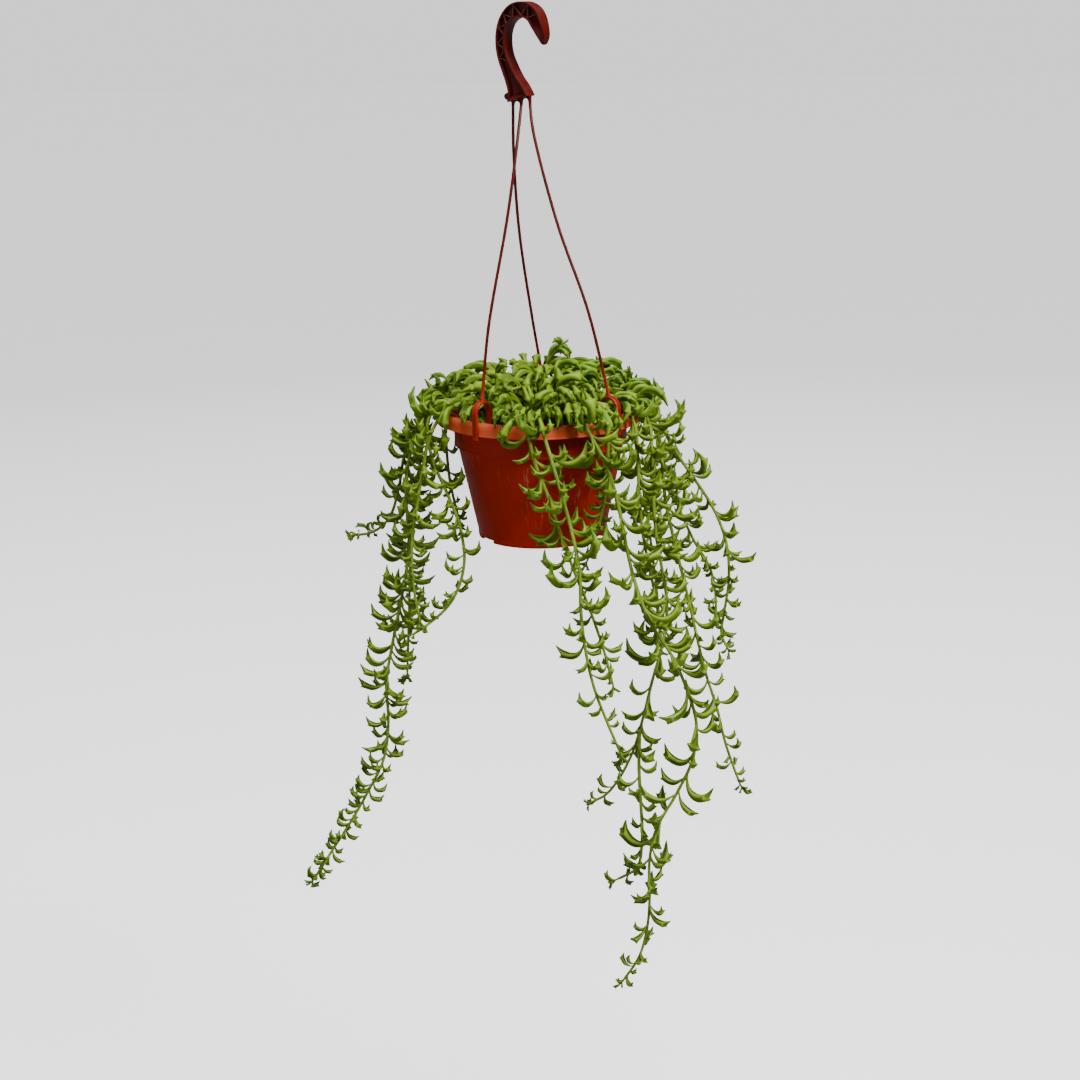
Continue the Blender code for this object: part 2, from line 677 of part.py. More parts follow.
def build_soil(finish, roots):
    """Fill of the pot with a lumpy top and a plain hole for each stem."""
    floor = -POT_HEIGHT + FOOT_HEIGHT + WALL + SOIL_GAP
    # The pot's wall is flat between its corners, so the fill draws in by as much
    flat = math.cos(math.pi / POT_SEGMENTS) - 0.001
    foot, body, collar, edge = [(radius - WALL) * flat - SOIL_GAP for radius in (
        FOOT_RADIUS, BODY_RADIUS, COLLAR_RADIUS - COLLAR_TAPER, COLLAR_RADIUS - COLLAR_TAPER / 2)]
    rim = [(foot, floor), (body, -COLLAR_DEPTH - 1.0), (collar, -COLLAR_DEPTH + STEP_HEIGHT)]
    shape = bmesh.new()
    rings = [[shape.verts.new(polar(r, 360.0 * i / SOIL_SEGMENTS, z))
              for i in range(SOIL_SEGMENTS)] for r, z in rim]
    for radius in (edge, *SOIL_RINGS):
        ring = []
        for i in range(SOIL_SEGMENTS):
            place = polar(radius, 360.0 * i / SOIL_SEGMENTS)
            place.z = soil_height(place.x, place.y)
            ring.append(shape.verts.new(place))
        rings.append(ring)
    ring_faces(shape, rings)
    shape.faces.new(rings[0])
    crown = shape.verts.new((0.0, 0.0, soil_height(0.0, 0.0)))
    for i, start in enumerate(rings[-1]):
        shape.faces.new((start, rings[-1][(i + 1) % SOIL_SEGMENTS], crown))
    bmesh.ops.triangulate(shape, faces=shape.faces[:])
    soil = make_object("soil", shape, finish)
    cutters = []
    for i, (x, y) in enumerate(roots):
        shape = bmesh.new()
        ground = soil_height(x, y)
        low, high = ground - HOLE_DEPTH - SOIL_GAP, ground + 2 * SOIL_CROWN
        place = Matrix.Translation((x, y, (low + high) / 2))
        bmesh.ops.create_cone(shape, cap_ends=True, segments=HOLE_SIDES, radius1=HOLE_RADIUS,
                              radius2=HOLE_RADIUS, depth=high - low, matrix=place)
        cutters.append(make_object("hole_%02d" % i, shape, finish))
    apply_boolean(soil, cutters, "DIFFERENCE")
    return soil


def hook_point(along, up, out=0.0):
    """Pot-frame place of a point in the hook's turned plane."""
    turn = math.radians(HOOK_TURN)
    plane = Vector((math.cos(turn), -math.sin(turn), 0.0))
    face = Vector((-math.sin(turn), -math.cos(turn), 0.0))
    seat = Vector((-POT_OFFSET_X, 0.0, RIM_DROP))
    return seat + plane * along + face * out + Vector((0.0, 0.0, up))


def hook_outline(inset):
    """Left and right edges of the hook, drawn in from its outline."""
    middle = smooth_path([(a, 0.0, u) for a, u, _ in HOOK_LINE], steps=2)
    widths = smooth_path([(w, 0.0, 10.0 * i) for i, (_, _, w) in enumerate(HOOK_LINE)], steps=2)
    left, right = [], []
    for i, (point, wide) in enumerate(zip(middle, widths)):
        course = (middle[min(i + 1, len(middle) - 1)] - middle[max(i - 1, 0)]).normalized()
        aside = Vector((-course.z, 0.0, course.x))
        half = wide.x / 2 - inset
        left.append(point + aside * half)
        right.append(point - aside * half)
    return left, right


def add_plate(shape, left, right, low, high):
    """Plate between two edges in the hook's plane, from one offset to another."""
    rings = []
    for a, b in zip(left, right):
        rings.append([shape.verts.new(hook_point(p.x, p.z, out))
                      for p, out in ((a, low), (b, low), (b, high), (a, high))])
    ring_faces(shape, rings)
    shape.faces.new(rings[0])
    shape.faces.new(rings[-1])


def build_pockets(finish):
    """Three-cornered pockets in both sides of the hook, which leave a zigzag of ribs."""
    left, right = hook_outline(HOOK_FLANGE)
    first, last = 1, len(left) - 6
    corners = []
    for i in range(HOOK_POCKETS + 2):
        station = round(first + (last - first) * i / (HOOK_POCKETS + 1))
        corners.append((left if i % 2 else right)[station])
    pockets = []
    for i, triangle in enumerate(zip(corners, corners[1:], corners[2:])):
        sides = [(b - a).length for a, b in zip(triangle[1:] + triangle[:1],
                                                triangle[2:] + triangle[:2])]
        around = sum(sides)
        centre = sum((p * side for p, side in zip(triangle, sides)), Vector()) / around
        area = (triangle[1] - triangle[0]).cross(triangle[2] - triangle[0]).length / 2
        shrink = 1.0 - HOOK_RIB / 2 / (2 * area / around)
        outline = [centre + (p - centre) * shrink for p in triangle]
        for side in (-1, 1):
            shape = bmesh.new()
            rings = [[shape.verts.new(hook_point(p.x, p.z, side * out)) for p in outline]
                     for out in (HOOK_WEB / 2, HOOK_THICKNESS / 2 + 1.0)]
            ring_faces(shape, rings)
            shape.faces.new(rings[0])
            shape.faces.new(rings[1])
            pockets.append(make_object("pocket_%d_%d" % (i, side), shape, finish))
    return pockets


def clip_arch():
    """Radius of a clip's arch and the height it springs from, on its middle line."""
    radius = (RIM_RADIUS + CLIP_GAP + CLIP_THICKNESS / 2 - CLIP_INNER_RADIUS) / 2
    return radius, CLIP_TOP - radius - CLIP_THICKNESS / 2


def build_clip(name, finish):
    """Strip that hooks over the rim: an outer prong with a barb, an arch and an inner prong."""
    radius, spring = clip_arch()
    outer = CLIP_INNER_RADIUS + 2 * radius
    line = [(outer, -RIM_SKIRT - CLIP_FOOT), (outer, spring)]
    for i in range(1, 5):
        turn = math.pi * i / 5
        line.append((outer - radius + radius * math.cos(turn), spring + radius * math.sin(turn)))
    line += [(CLIP_INNER_RADIUS, spring), (CLIP_INNER_RADIUS, -CLIP_INNER_DEPTH)]
    bearing = CLIP_BEARINGS[name]
    path = [polar(r, bearing, z) for r, z in line]
    half_wide, half_thick = CLIP_WIDTH / 2, CLIP_THICKNESS / 2
    section = [(-half_wide, -half_thick), (half_wide, -half_thick),
               (half_wide, half_thick), (-half_wide, half_thick)]
    shape = bmesh.new()
    add_sweep(shape, path, [section] * len(path), side=polar(1.0, bearing + 90.0))
    clip = make_object("clip_" + name, shape, finish)
    shape = bmesh.new()
    barb = polar(outer - 1.6, bearing, -RIM_SKIRT - CLIP_GAP - 1.2)
    add_box(shape, barb, (CLIP_WIDTH - 0.8, 3.4, 1.5), math.radians(bearing))
    apply_boolean(clip, [make_object("barb_" + name, shape, finish)], "UNION")
    return clip


def build_leg(name, finish):
    """Thin leg from the foot of the hook down to the top of its clip."""
    along = LEG_ROOTS[name]
    clip_top = polar((RIM_RADIUS + CLIP_INNER_RADIUS) / 2, CLIP_BEARINGS[name], CLIP_TOP - 0.6)
    way = smooth_path([hook_point(along, LEG_TOP - 6.0), *LEG_WAYS[name], clip_top], 8)
    path = [hook_point(along, LEG_TOP)] + thin_path(way, 0.12, 45.0)
    shape = bmesh.new()
    add_sweep(shape, path, [round_section(LEG_RADIUS, LEG_SIDES)] * len(path))
    return make_object("leg_" + name, shape, finish)


def build_knob(finish):
    """Small catch that stands out of the hook's foot."""
    along, up = KNOB_PLACE
    shape = bmesh.new()
    add_sweep(shape, [hook_point(along + r, up + 0.6 * r) for r, _ in KNOB_LINE],
              [round_section(radius, 6) for _, radius in KNOB_LINE])
    return make_object("knob", shape, finish)


def build_hanger(finish):
    """Hook with recessed, ribbed sides, three thin legs and three clips over the rim."""
    left, right = hook_outline(0.0)
    shape = bmesh.new()
    add_plate(shape, left, right, -HOOK_THICKNESS / 2, HOOK_THICKNESS / 2)
    hanger = make_object("hanger", shape, finish, smooth_angle=35.0)
    apply_boolean(hanger, build_pockets(finish), "DIFFERENCE")
    pieces = [build_leg(name, finish) for name in LEG_ROOTS]
    pieces += [build_clip(name, finish) for name in CLIP_BEARINGS]
    pieces.append(build_knob(finish))
    apply_boolean(hanger, pieces, "UNION")
    return hanger


def add_leaf(shape, leaf):
    """Low solid of a leaf: a pointed root, two three-cornered rings, the wider at the fins."""
    rings = []
    for t, reach in ((0.34, 0.0), (0.64, leaf.FIN_REACH * leaf.scale)):
        depth, thickness = leaf.section(t)
        course, inward = leaf.frame(t)
        ridge = leaf.point(t) + inward * (0.46 * depth)
        back = leaf.point(t) - inward * (0.50 * depth) + course * (0.6 * reach)
        aside = leaf.side * (0.45 * thickness + reach)
        rings.append([shape.verts.new(p) for p in (ridge, back + aside, back - aside)])
    root = shape.verts.new(leaf.root)
    tip = shape.verts.new(leaf.point(1.0))
    low, high = rings
    for i in range(3):
        after = (i + 1) % 3
        shape.faces.new((root, low[after], low[i]))
        shape.faces.new((high[i], high[after], tip))
    shape.faces.new((low[0], low[1], high[1]))
    shape.faces.new((low[0], high[1], high[0]))
    shape.faces.new((low[2], low[0], high[0]))
    shape.faces.new((low[2], high[0], high[2]))
    shape.faces.new((low[1], low[2], high[2]))
    shape.faces.new((low[1], high[2], high[1]))


def build_stems(name, paths, leaves, finish):
    """One node: a stem, its branches and its leaves, joined into one body."""
    pieces = []
    for i, path in enumerate(paths):
        count = len(path) - 1
        sections = [round_section(STEM_RADIUS + (STEM_TIP_RADIUS - STEM_RADIUS) * k / count,
                                  STEM_SIDES) for k in range(count + 1)]
        shape = bmesh.new()
        add_sweep(shape, path, sections)
        pieces.append(make_object(name if i == 0 else "%s_branch_%d" % (name, i), shape, finish))
    for i, leaf in enumerate(leaves):
        shape = bmesh.new()
        add_leaf(shape, leaf)
        pieces.append(make_object("%s_leaf_%d" % (name, i), shape, finish))
    apply_boolean(pieces[0], pieces[1:], "UNION")
    return pieces[0]


def take_hanger(space):
    """Take the room of the hanger's legs and clips, which leaves keep clear of."""
    radius, spring = clip_arch()
    middle = CLIP_INNER_RADIUS + radius
    size = CLIP_WIDTH / 2 + 0.2
    for name, ways in LEG_WAYS.items():
        bearing = CLIP_BEARINGS[name]
        space.add_path([Vector(ways[-1]), polar(middle, bearing, CLIP_TOP)], LEG_RADIUS, "hanger")
        for out in (middle + radius, middle - radius):
            prong = [polar(out, bearing, -RIM_SKIRT), polar(out, bearing, spring)]
            space.add_path(prong, size, "hanger")
        turns = [math.pi * i / 4 for i in range(5)]
        arch = [polar(middle + radius * math.cos(turn), bearing, spring + radius * math.sin(turn))
                for turn in turns]
        space.add_path(arch, size, "hanger")


def main():
    """Build the whole part."""
    for old in list(bpy.data.objects):
        bpy.data.objects.remove(old)
    axis = bpy.data.objects.new("pot_axis", None)
    axis.location = (POT_OFFSET_X * MM, 0.0, -RIM_DROP * MM)
    bpy.context.scene.collection.objects.link(axis)

    plastic = material("terracotta_plastic", (0.20, 0.018, 0.006), 0.38)
    dark_plastic = material("hanger_plastic", (0.16, 0.013, 0.006), 0.35)
    earth = material("potting_soil", (0.030, 0.018, 0.011), 0.95)
    green = material("string_leaf", (0.14, 0.26, 0.035), 0.42)

    space = Space()
    take_hanger(space)
    plant = grow_plant(space)
    build_pot(plastic)
    build_soil(earth, [(paths[0][0].x, paths[0][0].y) for _, paths, _ in plant])
    build_hanger(dark_plastic)
    for name, paths, leaves in plant:
        build_stems(name, paths, leaves, green)


main()
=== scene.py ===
"""Dressed model of a potted string of dolphins in a hanging plastic pot.

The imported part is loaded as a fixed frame, in metres with +Z up and its origin at the seat of the
hook. Sizes in the classes below are millimetres in the pot's own frame, whose origin is the centre
of the rim's top: X to the right, Y to the back, Z up. The stems and leaves follow the same rule and
seed as the part's solids, so each fine piece lies where the solid that it stands for is.
"""

import logging
import math
import random
from dataclasses import dataclass, field
from enum import Enum
from typing import Callable, Iterable, Sequence

import bmesh
import bpy
from bpy.types import (ID, Material, Mesh, Node, NodeSocket, NodeTree, Object,
                       bpy_prop_collection)
from mathutils import Matrix, Vector, noise

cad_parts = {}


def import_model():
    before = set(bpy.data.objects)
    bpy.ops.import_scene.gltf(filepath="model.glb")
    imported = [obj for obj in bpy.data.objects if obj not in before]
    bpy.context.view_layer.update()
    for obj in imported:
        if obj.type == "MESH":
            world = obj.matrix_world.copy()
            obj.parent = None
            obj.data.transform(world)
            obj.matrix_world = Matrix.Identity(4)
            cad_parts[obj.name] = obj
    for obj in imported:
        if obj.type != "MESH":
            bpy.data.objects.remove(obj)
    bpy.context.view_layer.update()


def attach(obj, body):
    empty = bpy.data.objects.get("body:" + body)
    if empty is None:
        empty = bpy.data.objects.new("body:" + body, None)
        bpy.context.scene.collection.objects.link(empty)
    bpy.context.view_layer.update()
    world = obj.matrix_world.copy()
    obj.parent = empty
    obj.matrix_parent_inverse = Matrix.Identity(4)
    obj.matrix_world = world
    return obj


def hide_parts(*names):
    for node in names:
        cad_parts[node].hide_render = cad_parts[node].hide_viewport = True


LOG = logging.getLogger("string_plant")
MM = 0.001
POT_FRAME = Matrix.Translation((0.004, 0.0, -0.282)) @ Matrix.Scale(MM, 4)

Path = list[Vector]
Pair = tuple[float, float]
Triple = tuple[float, float, float]
Colour = Triple
Table = tuple[Pair, ...]
Route = tuple[Triple, ...]


# Shared geometry


def polar(radius: float, bearing: float, height: float = 0.0) -> Vector:
    """Point at a bearing in degrees from the front, positive towards +X."""
    angle = math.radians(bearing)
    return Vector((radius * math.sin(angle), -radius * math.cos(angle), height))


def lerp(low: float, high: float, share: float) -> float:
    """Number at a share of the way from low to high."""
    return low + (high - low) * share


def smoothstep(low: float, high: float, value: float) -> float:
    """Soft step from 0 at low to 1 at high."""
    share = min(1.0, max(0.0, (value - low) / (high - low)))
    return share * share * (3.0 - 2.0 * share)


def table_value(table: Sequence[Pair], place: float) -> float:
    """Read a table of (place, value) pairs with straight lines between them.

    Args:
        table: Pairs in rising order of place.
        place: Where to read it.

    Returns:
        The value there, or the end value outside the table.
    """
    if place <= table[0][0]:
        return table[0][1]
    for (p0, v0), (p1, v1) in zip(table, table[1:]):
        if place <= p1:
            return lerp(v0, v1, (place - p0) / (p1 - p0))
    return table[-1][1]


def smooth_path(points: Iterable[Sequence[float]], steps: int = 10) -> Path:
    """Draw a centripetal Catmull-Rom curve through points.

    Args:
        points: Points that the curve passes through.
        steps: Pieces between two neighbours.

    Returns:
        The curve's points, the given ones among them.
    """
    pts = [Vector(p) for p in points]
    pts = [pts[0] * 2 - pts[1]] + pts + [pts[-1] * 2 - pts[-2]]
    path = [pts[1].copy()]
    for a, b, c, d in zip(pts, pts[1:], pts[2:], pts[3:]):
        t1 = (b - a).length ** 0.5
        t2 = t1 + (c - b).length ** 0.5
        t3 = t2 + (d - c).length ** 0.5
        for i in range(1, steps + 1):
            t = t1 + (t2 - t1) * i / steps
            a1 = a + (b - a) * (t / t1)
            a2 = b + (c - b) * ((t - t1) / (t2 - t1))
            a3 = c + (d - c) * ((t - t2) / (t3 - t2))
            b1 = a1 + (a2 - a1) * (t / t2)
            b2 = a2 + (a3 - a2) * ((t - t1) / (t3 - t1))
            path.append(b1 + (b2 - b1) * ((t - t1) / (t2 - t1)))
    return path


def thin_path(path: Path, max_turn: float = 0.27, max_step: float = 26.0,
              min_step: float = 4.0) -> Path:
    """Keep only the points that a dense path's bends and length need.

    Args:
        path: Dense path.
        max_turn: Turn in radians past which a point is kept.
        max_step: Longest step between kept points.
        min_step: Shortest step to a bend's kept point.

    Returns:
        The kept points, with both ends.
    """
    kept = [path[0]]
    for point, after in zip(path[1:], path[2:]):
        step = point - kept[-1]
        turn = step.angle(after - point, 0.0)
        if step.length >= max_step or (turn >= max_turn and step.length > min_step):
            kept.append(point)
    kept.append(path[-1])
    return kept


def course_at(path: Path, i: int) -> Vector:
    """Direction of a path at one of its points."""
    return (path[min(i + 1, len(path) - 1)] - path[max(i - 1, 0)]).normalized()


def path_lengths(path: Path) -> list[float]:
    """Distance of each point of a path from its start."""
    lengths = [0.0]
    for a, b in zip(path, path[1:]):
        lengths.append(lengths[-1] + (b - a).length)
    return lengths


def even_path(path: Path, step: float) -> Path:
    """Set points along a path at even steps.

    Args:
        path: Path to walk.
        step: Wanted distance between points.

    Returns:
        Points from the path's start to its end.
    """
    lengths = path_lengths(path)
    count = max(2, round(lengths[-1] / step))
    points, i = [], 0
    for k in range(count + 1):
        place = lengths[-1] * k / count
        while i < len(path) - 2 and lengths[i + 1] < place:
            i += 1
        share = (place - lengths[i]) / max(lengths[i + 1] - lengths[i], 1e-9)
        points.append(path[i].lerp(path[i + 1], min(1.0, share)))
    return points


def half_turn(count: int) -> list[float]:
    """Angles at even steps over half a turn, both ends among them."""
    return [math.pi * i / count for i in range(count + 1)]


def beads(path: Path, step: float = 1.6) -> Path:
    """Points along a path, its own among them, and none further apart than a step."""
    points = []
    for a, b in zip(path, path[1:]):
        count = max(1, math.ceil((b - a).length / step))
        points += [a.lerp(b, i / count) for i in range(count)]
    return points + [path[-1]]


def rounded_profile(corners: Sequence[Triple], steps: int = 3) -> list[Pair]:
    """Round the corners of a closed profile.

    Args:
        corners: (radius, height, fillet radius) of each corner.
        steps: Pieces of each fillet.

    Returns:
        The profile's (radius, height) points.
    """
    points = []
    count = len(corners)
    for i, (x, y, fillet) in enumerate(corners):
        corner = Vector((x, y))
        if fillet <= 0.0:
            points.append((x, y))
            continue
        before = Vector(corners[i - 1][:2]) - corner
        after = Vector(corners[(i + 1) % count][:2]) - corner
        reach = min(fillet, 0.48 * before.length, 0.48 * after.length)
        start, end = corner + before.normalized() * reach, corner + after.normalized() * reach
        for k in range(steps + 1):
            t = k / steps
            p = start * (1 - t) ** 2 + corner * 2 * t * (1 - t) + end * t ** 2
            points.append((p.x, p.y))
    return points


class MeshBuilder:
    """Gathers the points, faces and named values of one mesh in pot-frame millimetres."""

    def __init__(self) -> None:
        """Start with nothing."""
        self.points: list[Vector] = []
        self.faces: list[tuple[int, ...]] = []
        self.values: dict[str, list[float]] = {}

    def add_point(self, point: Vector, **values: float) -> int:
        """Add one point with its named values and return its number."""
        for name, value in values.items():
            self.values.setdefault(name, []).append(value)
        self.points.append(point)
        return len(self.points) - 1

    def add_circle(self, radius: float, height: float, count: int) -> list[int]:
        """Add a level ring of points round the Z axis and return their numbers."""
        return [self.add_point(polar(radius, 360.0 * i / count, height)) for i in range(count)]

    def add_rings(self, rings: Sequence[Sequence[int]], cap_start: bool = True,
                  cap_end: bool = True) -> None:
        """Join successive rings of the same number of points.

        Args:
            rings: Point numbers of each ring.
            cap_start: Whether the first ring gets a face.
            cap_end: Whether the last ring gets a face.
        """
        for low, high in zip(rings, rings[1:]):
            count = len(low)
            for i in range(count):
                after = (i + 1) % count
                self.faces.append((low[i], low[after], high[after], high[i]))
        if cap_start:
            self.faces.append(tuple(reversed(rings[0])))
        if cap_end:
            self.faces.append(tuple(rings[-1]))

    def add_fan(self, ring: Sequence[int], tip: int, outward: bool = True) -> None:
        """Close a ring with a fan of triangles to a tip."""
        for i, start in enumerate(ring):
            after = ring[(i + 1) % len(ring)]
            self.faces.append((start, after, tip) if outward else (after, start, tip))

    def add_tube(self, path: Path, radii: Sequence[float], sides: int, **values: float) -> None:
        """Add a round bar along a path, closed at both ends.

        Args:
            path: Middle line.
            radii: Radius at each point of the path.
            sides: Points of each ring.
            **values: Named values that all its points get.
        """
        rings = []
        across = None
        for i, point in enumerate(path):
            course = course_at(path, i)
            across = course.orthogonal() if across is None else across - course * across.dot(course)
            across.normalize()
            out = course.cross(across)
            ring = []
            for k in range(sides):
                turn = math.tau * k / sides
                offset = across * math.cos(turn) + out * math.sin(turn)
                ring.append(self.add_point(point + offset * radii[i], **values))
            rings.append(ring)
        self.add_rings(rings)

    def finish(self, name: str, finish: Material, sharp: float = 180.0) -> Object:
        """Make the mesh object in metres, its place in its mesh.

        Args:
            name: The object's name.
            finish: Its material.
            sharp: Edges that bend more than this many degrees stay sharp.

        Returns:
            The linked object, shaded smooth.
        """
        mesh = bpy.data.meshes.new(name)
        mesh.from_pydata([POT_FRAME @ p for p in self.points], [], self.faces)
        for value_name, values in self.values.items():
            layer = mesh.attributes.new(value_name, "FLOAT", "POINT")
            layer.data.foreach_set("value", values)
        return link_mesh(mesh, finish, sharp)


def link_object(name: str, data: ID) -> Object:
    """Make an object of a mesh, a light or a camera and put it in the scene."""
    body = bpy.data.objects.new(name, data)
    bpy.context.scene.collection.objects.link(body)
    return body


def shade(mesh: Mesh, sharp: float) -> None:
    """Shade a mesh smooth, but for edges that bend more than some degrees."""
    mesh.shade_smooth()
    if sharp < 180.0:
        mesh.set_sharp_from_angle(angle=math.radians(sharp))


def link_mesh(mesh: Mesh, finish: Material, sharp: float = 180.0) -> Object:
    """Give a mesh even normals, its material and an object of the same name.

    Args:
        mesh: Mesh in metres.
        finish: Its material.
        sharp: Edges that bend more than this many degrees stay sharp.

    Returns:
        The linked object.
    """
    shape = bmesh.new()
    shape.from_mesh(mesh)
    bmesh.ops.recalc_face_normals(shape, faces=shape.faces)
    shape.to_mesh(mesh)
    shape.free()
    shade(mesh, sharp)
    mesh.materials.append(finish)
    return link_object(mesh.name, mesh)


def apply_modifiers(body: Object, sharp: float) -> None:
    """Turn an object's modifiers into its mesh and shade it anew.

    Args:
        body: The object.
        sharp: Edges that bend more than this many degrees stay sharp.
    """
    depsgraph = bpy.context.evaluated_depsgraph_get()
    old = body.data
    body.data = bpy.data.meshes.new_from_object(body.evaluated_get(depsgraph))
    body.data.name = body.name
    body.modifiers.clear()
    bpy.data.meshes.remove(old)
    shade(body.data, sharp)


def dress(piece: Object, node: str = "") -> Object:
    """Let a piece ride on the part, in a node's stead where one is named.

    Args:
        piece: The piece.
        node: The node that it replaces.

    Returns:
        The piece.
    """
    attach(piece, "root")
    if node:
        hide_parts(node)
    return piece


# Shader tools and shared effects


class NodeBench:
    """Places and wires the nodes of one material or group."""

    def __init__(self, tree: NodeTree) -> None:
        """Work on a node tree."""
        self.tree = tree

    def add(self, kind: str, inputs: dict[str | int, object] | None = None, **settings: object
            ) -> Node:
        """Place a node.

        Args:
            kind: Blender's name of the node type.
            inputs: Values or output sockets for its inputs, by input name or number.
            **settings: Properties of the node.

        Returns:
            The new node.
        """
        node = self.tree.nodes.new(kind)
        for name, value in settings.items():
            setattr(node, name, value)
        for name, value in (inputs or {}).items():
            self.set(node.inputs[name], value)
        return node

    def set(self, socket: NodeSocket, value: object) -> None:
        """Give an input a value, or wire an output to it."""
        if isinstance(value, NodeSocket):
            self.tree.links.new(value, socket)
        elif socket.type == "RGBA":
            socket.default_value = (*value, 1.0)
        else:
            socket.default_value = value

    def math(self, operation: str, first: object, second: object = 0.0, clamp: bool = False
             ) -> NodeSocket:
        """Result of a sum on one or two values."""
        node = self.add("ShaderNodeMath", operation=operation, use_clamp=clamp)
        self.set(node.inputs[0], first)
        self.set(node.inputs[1], second)
        return node.outputs[0]

    def times(self, first: object, second: object, clamp: bool = False) -> NodeSocket:
        """Product of two values."""
        return self.math("MULTIPLY", first, second, clamp)

    def mix(self, share: object, first: object, second: object, blend: str = "MIX") -> NodeSocket:
        """Mix two colours.

        Args:
            share: How much of the second, as a value or a socket.
            first: First colour or socket.
            second: Second colour or socket.
            blend: Blender's name of the way to mix.

        Returns:
            The mixed colour's socket.
        """
        node = self.add("ShaderNodeMix", data_type="RGBA", blend_type=blend)
        self.set(node.inputs[0], share)
        self.set(node.inputs[6], first)
        self.set(node.inputs[7], second)
        return node.outputs[2]

    def ramp(self, value: NodeSocket, low: float, high: float,
             bottom: float = 0.0, top: float = 1.0) -> NodeSocket:
        """Spread values from low to high over bottom to top, held inside them."""
        node = self.add("ShaderNodeMapRange", {"Value": value, "From Min": low, "From Max": high,
                                               "To Min": bottom, "To Max": top})
        return node.outputs["Result"]

    def noise(self, place: NodeSocket, scale: object, detail: float = 3.0,
              roughness: float = 0.55) -> NodeSocket:
        """Cloudy value at a place."""
        node = self.add("ShaderNodeTexNoise", {"Vector": place, "Scale": scale, "Detail": detail,
                                               "Roughness": roughness})
        return node.outputs["Fac"]

    def stretch(self, place: NodeSocket, scale: Colour) -> NodeSocket:
        """Place stretched along the axes."""
        node = self.add("ShaderNodeMapping", {"Vector": place, "Scale": scale})
        return node.outputs["Vector"]

    def value_of(self, name: str) -> NodeSocket:
        """Value that the mesh holds under a name."""
        return self.add("ShaderNodeAttribute", attribute_name=name).outputs["Fac"]

    def place(self) -> NodeSocket:
        """Place on the object, in metres."""
        return self.add("ShaderNodeTexCoord").outputs["Object"]

    def show_either(self, share: NodeSocket, first: NodeSocket,
                    second: NodeSocket, output: Node) -> None:
        """Let an output show one shader where the share is 0 and another where it is 1."""
        either = self.add("ShaderNodeMixShader", {"Fac": share, 1: first, 2: second})
        self.set(output.inputs["Surface"], either.outputs["Shader"])


class Effect(Enum):
    """Effects that more than one material uses."""

    MOTTLE = "cloudy_mottle"
    GRAIN = "fine_grain"
    DRIPS = "dried_drips"
    SETTLED = "settled_dust"


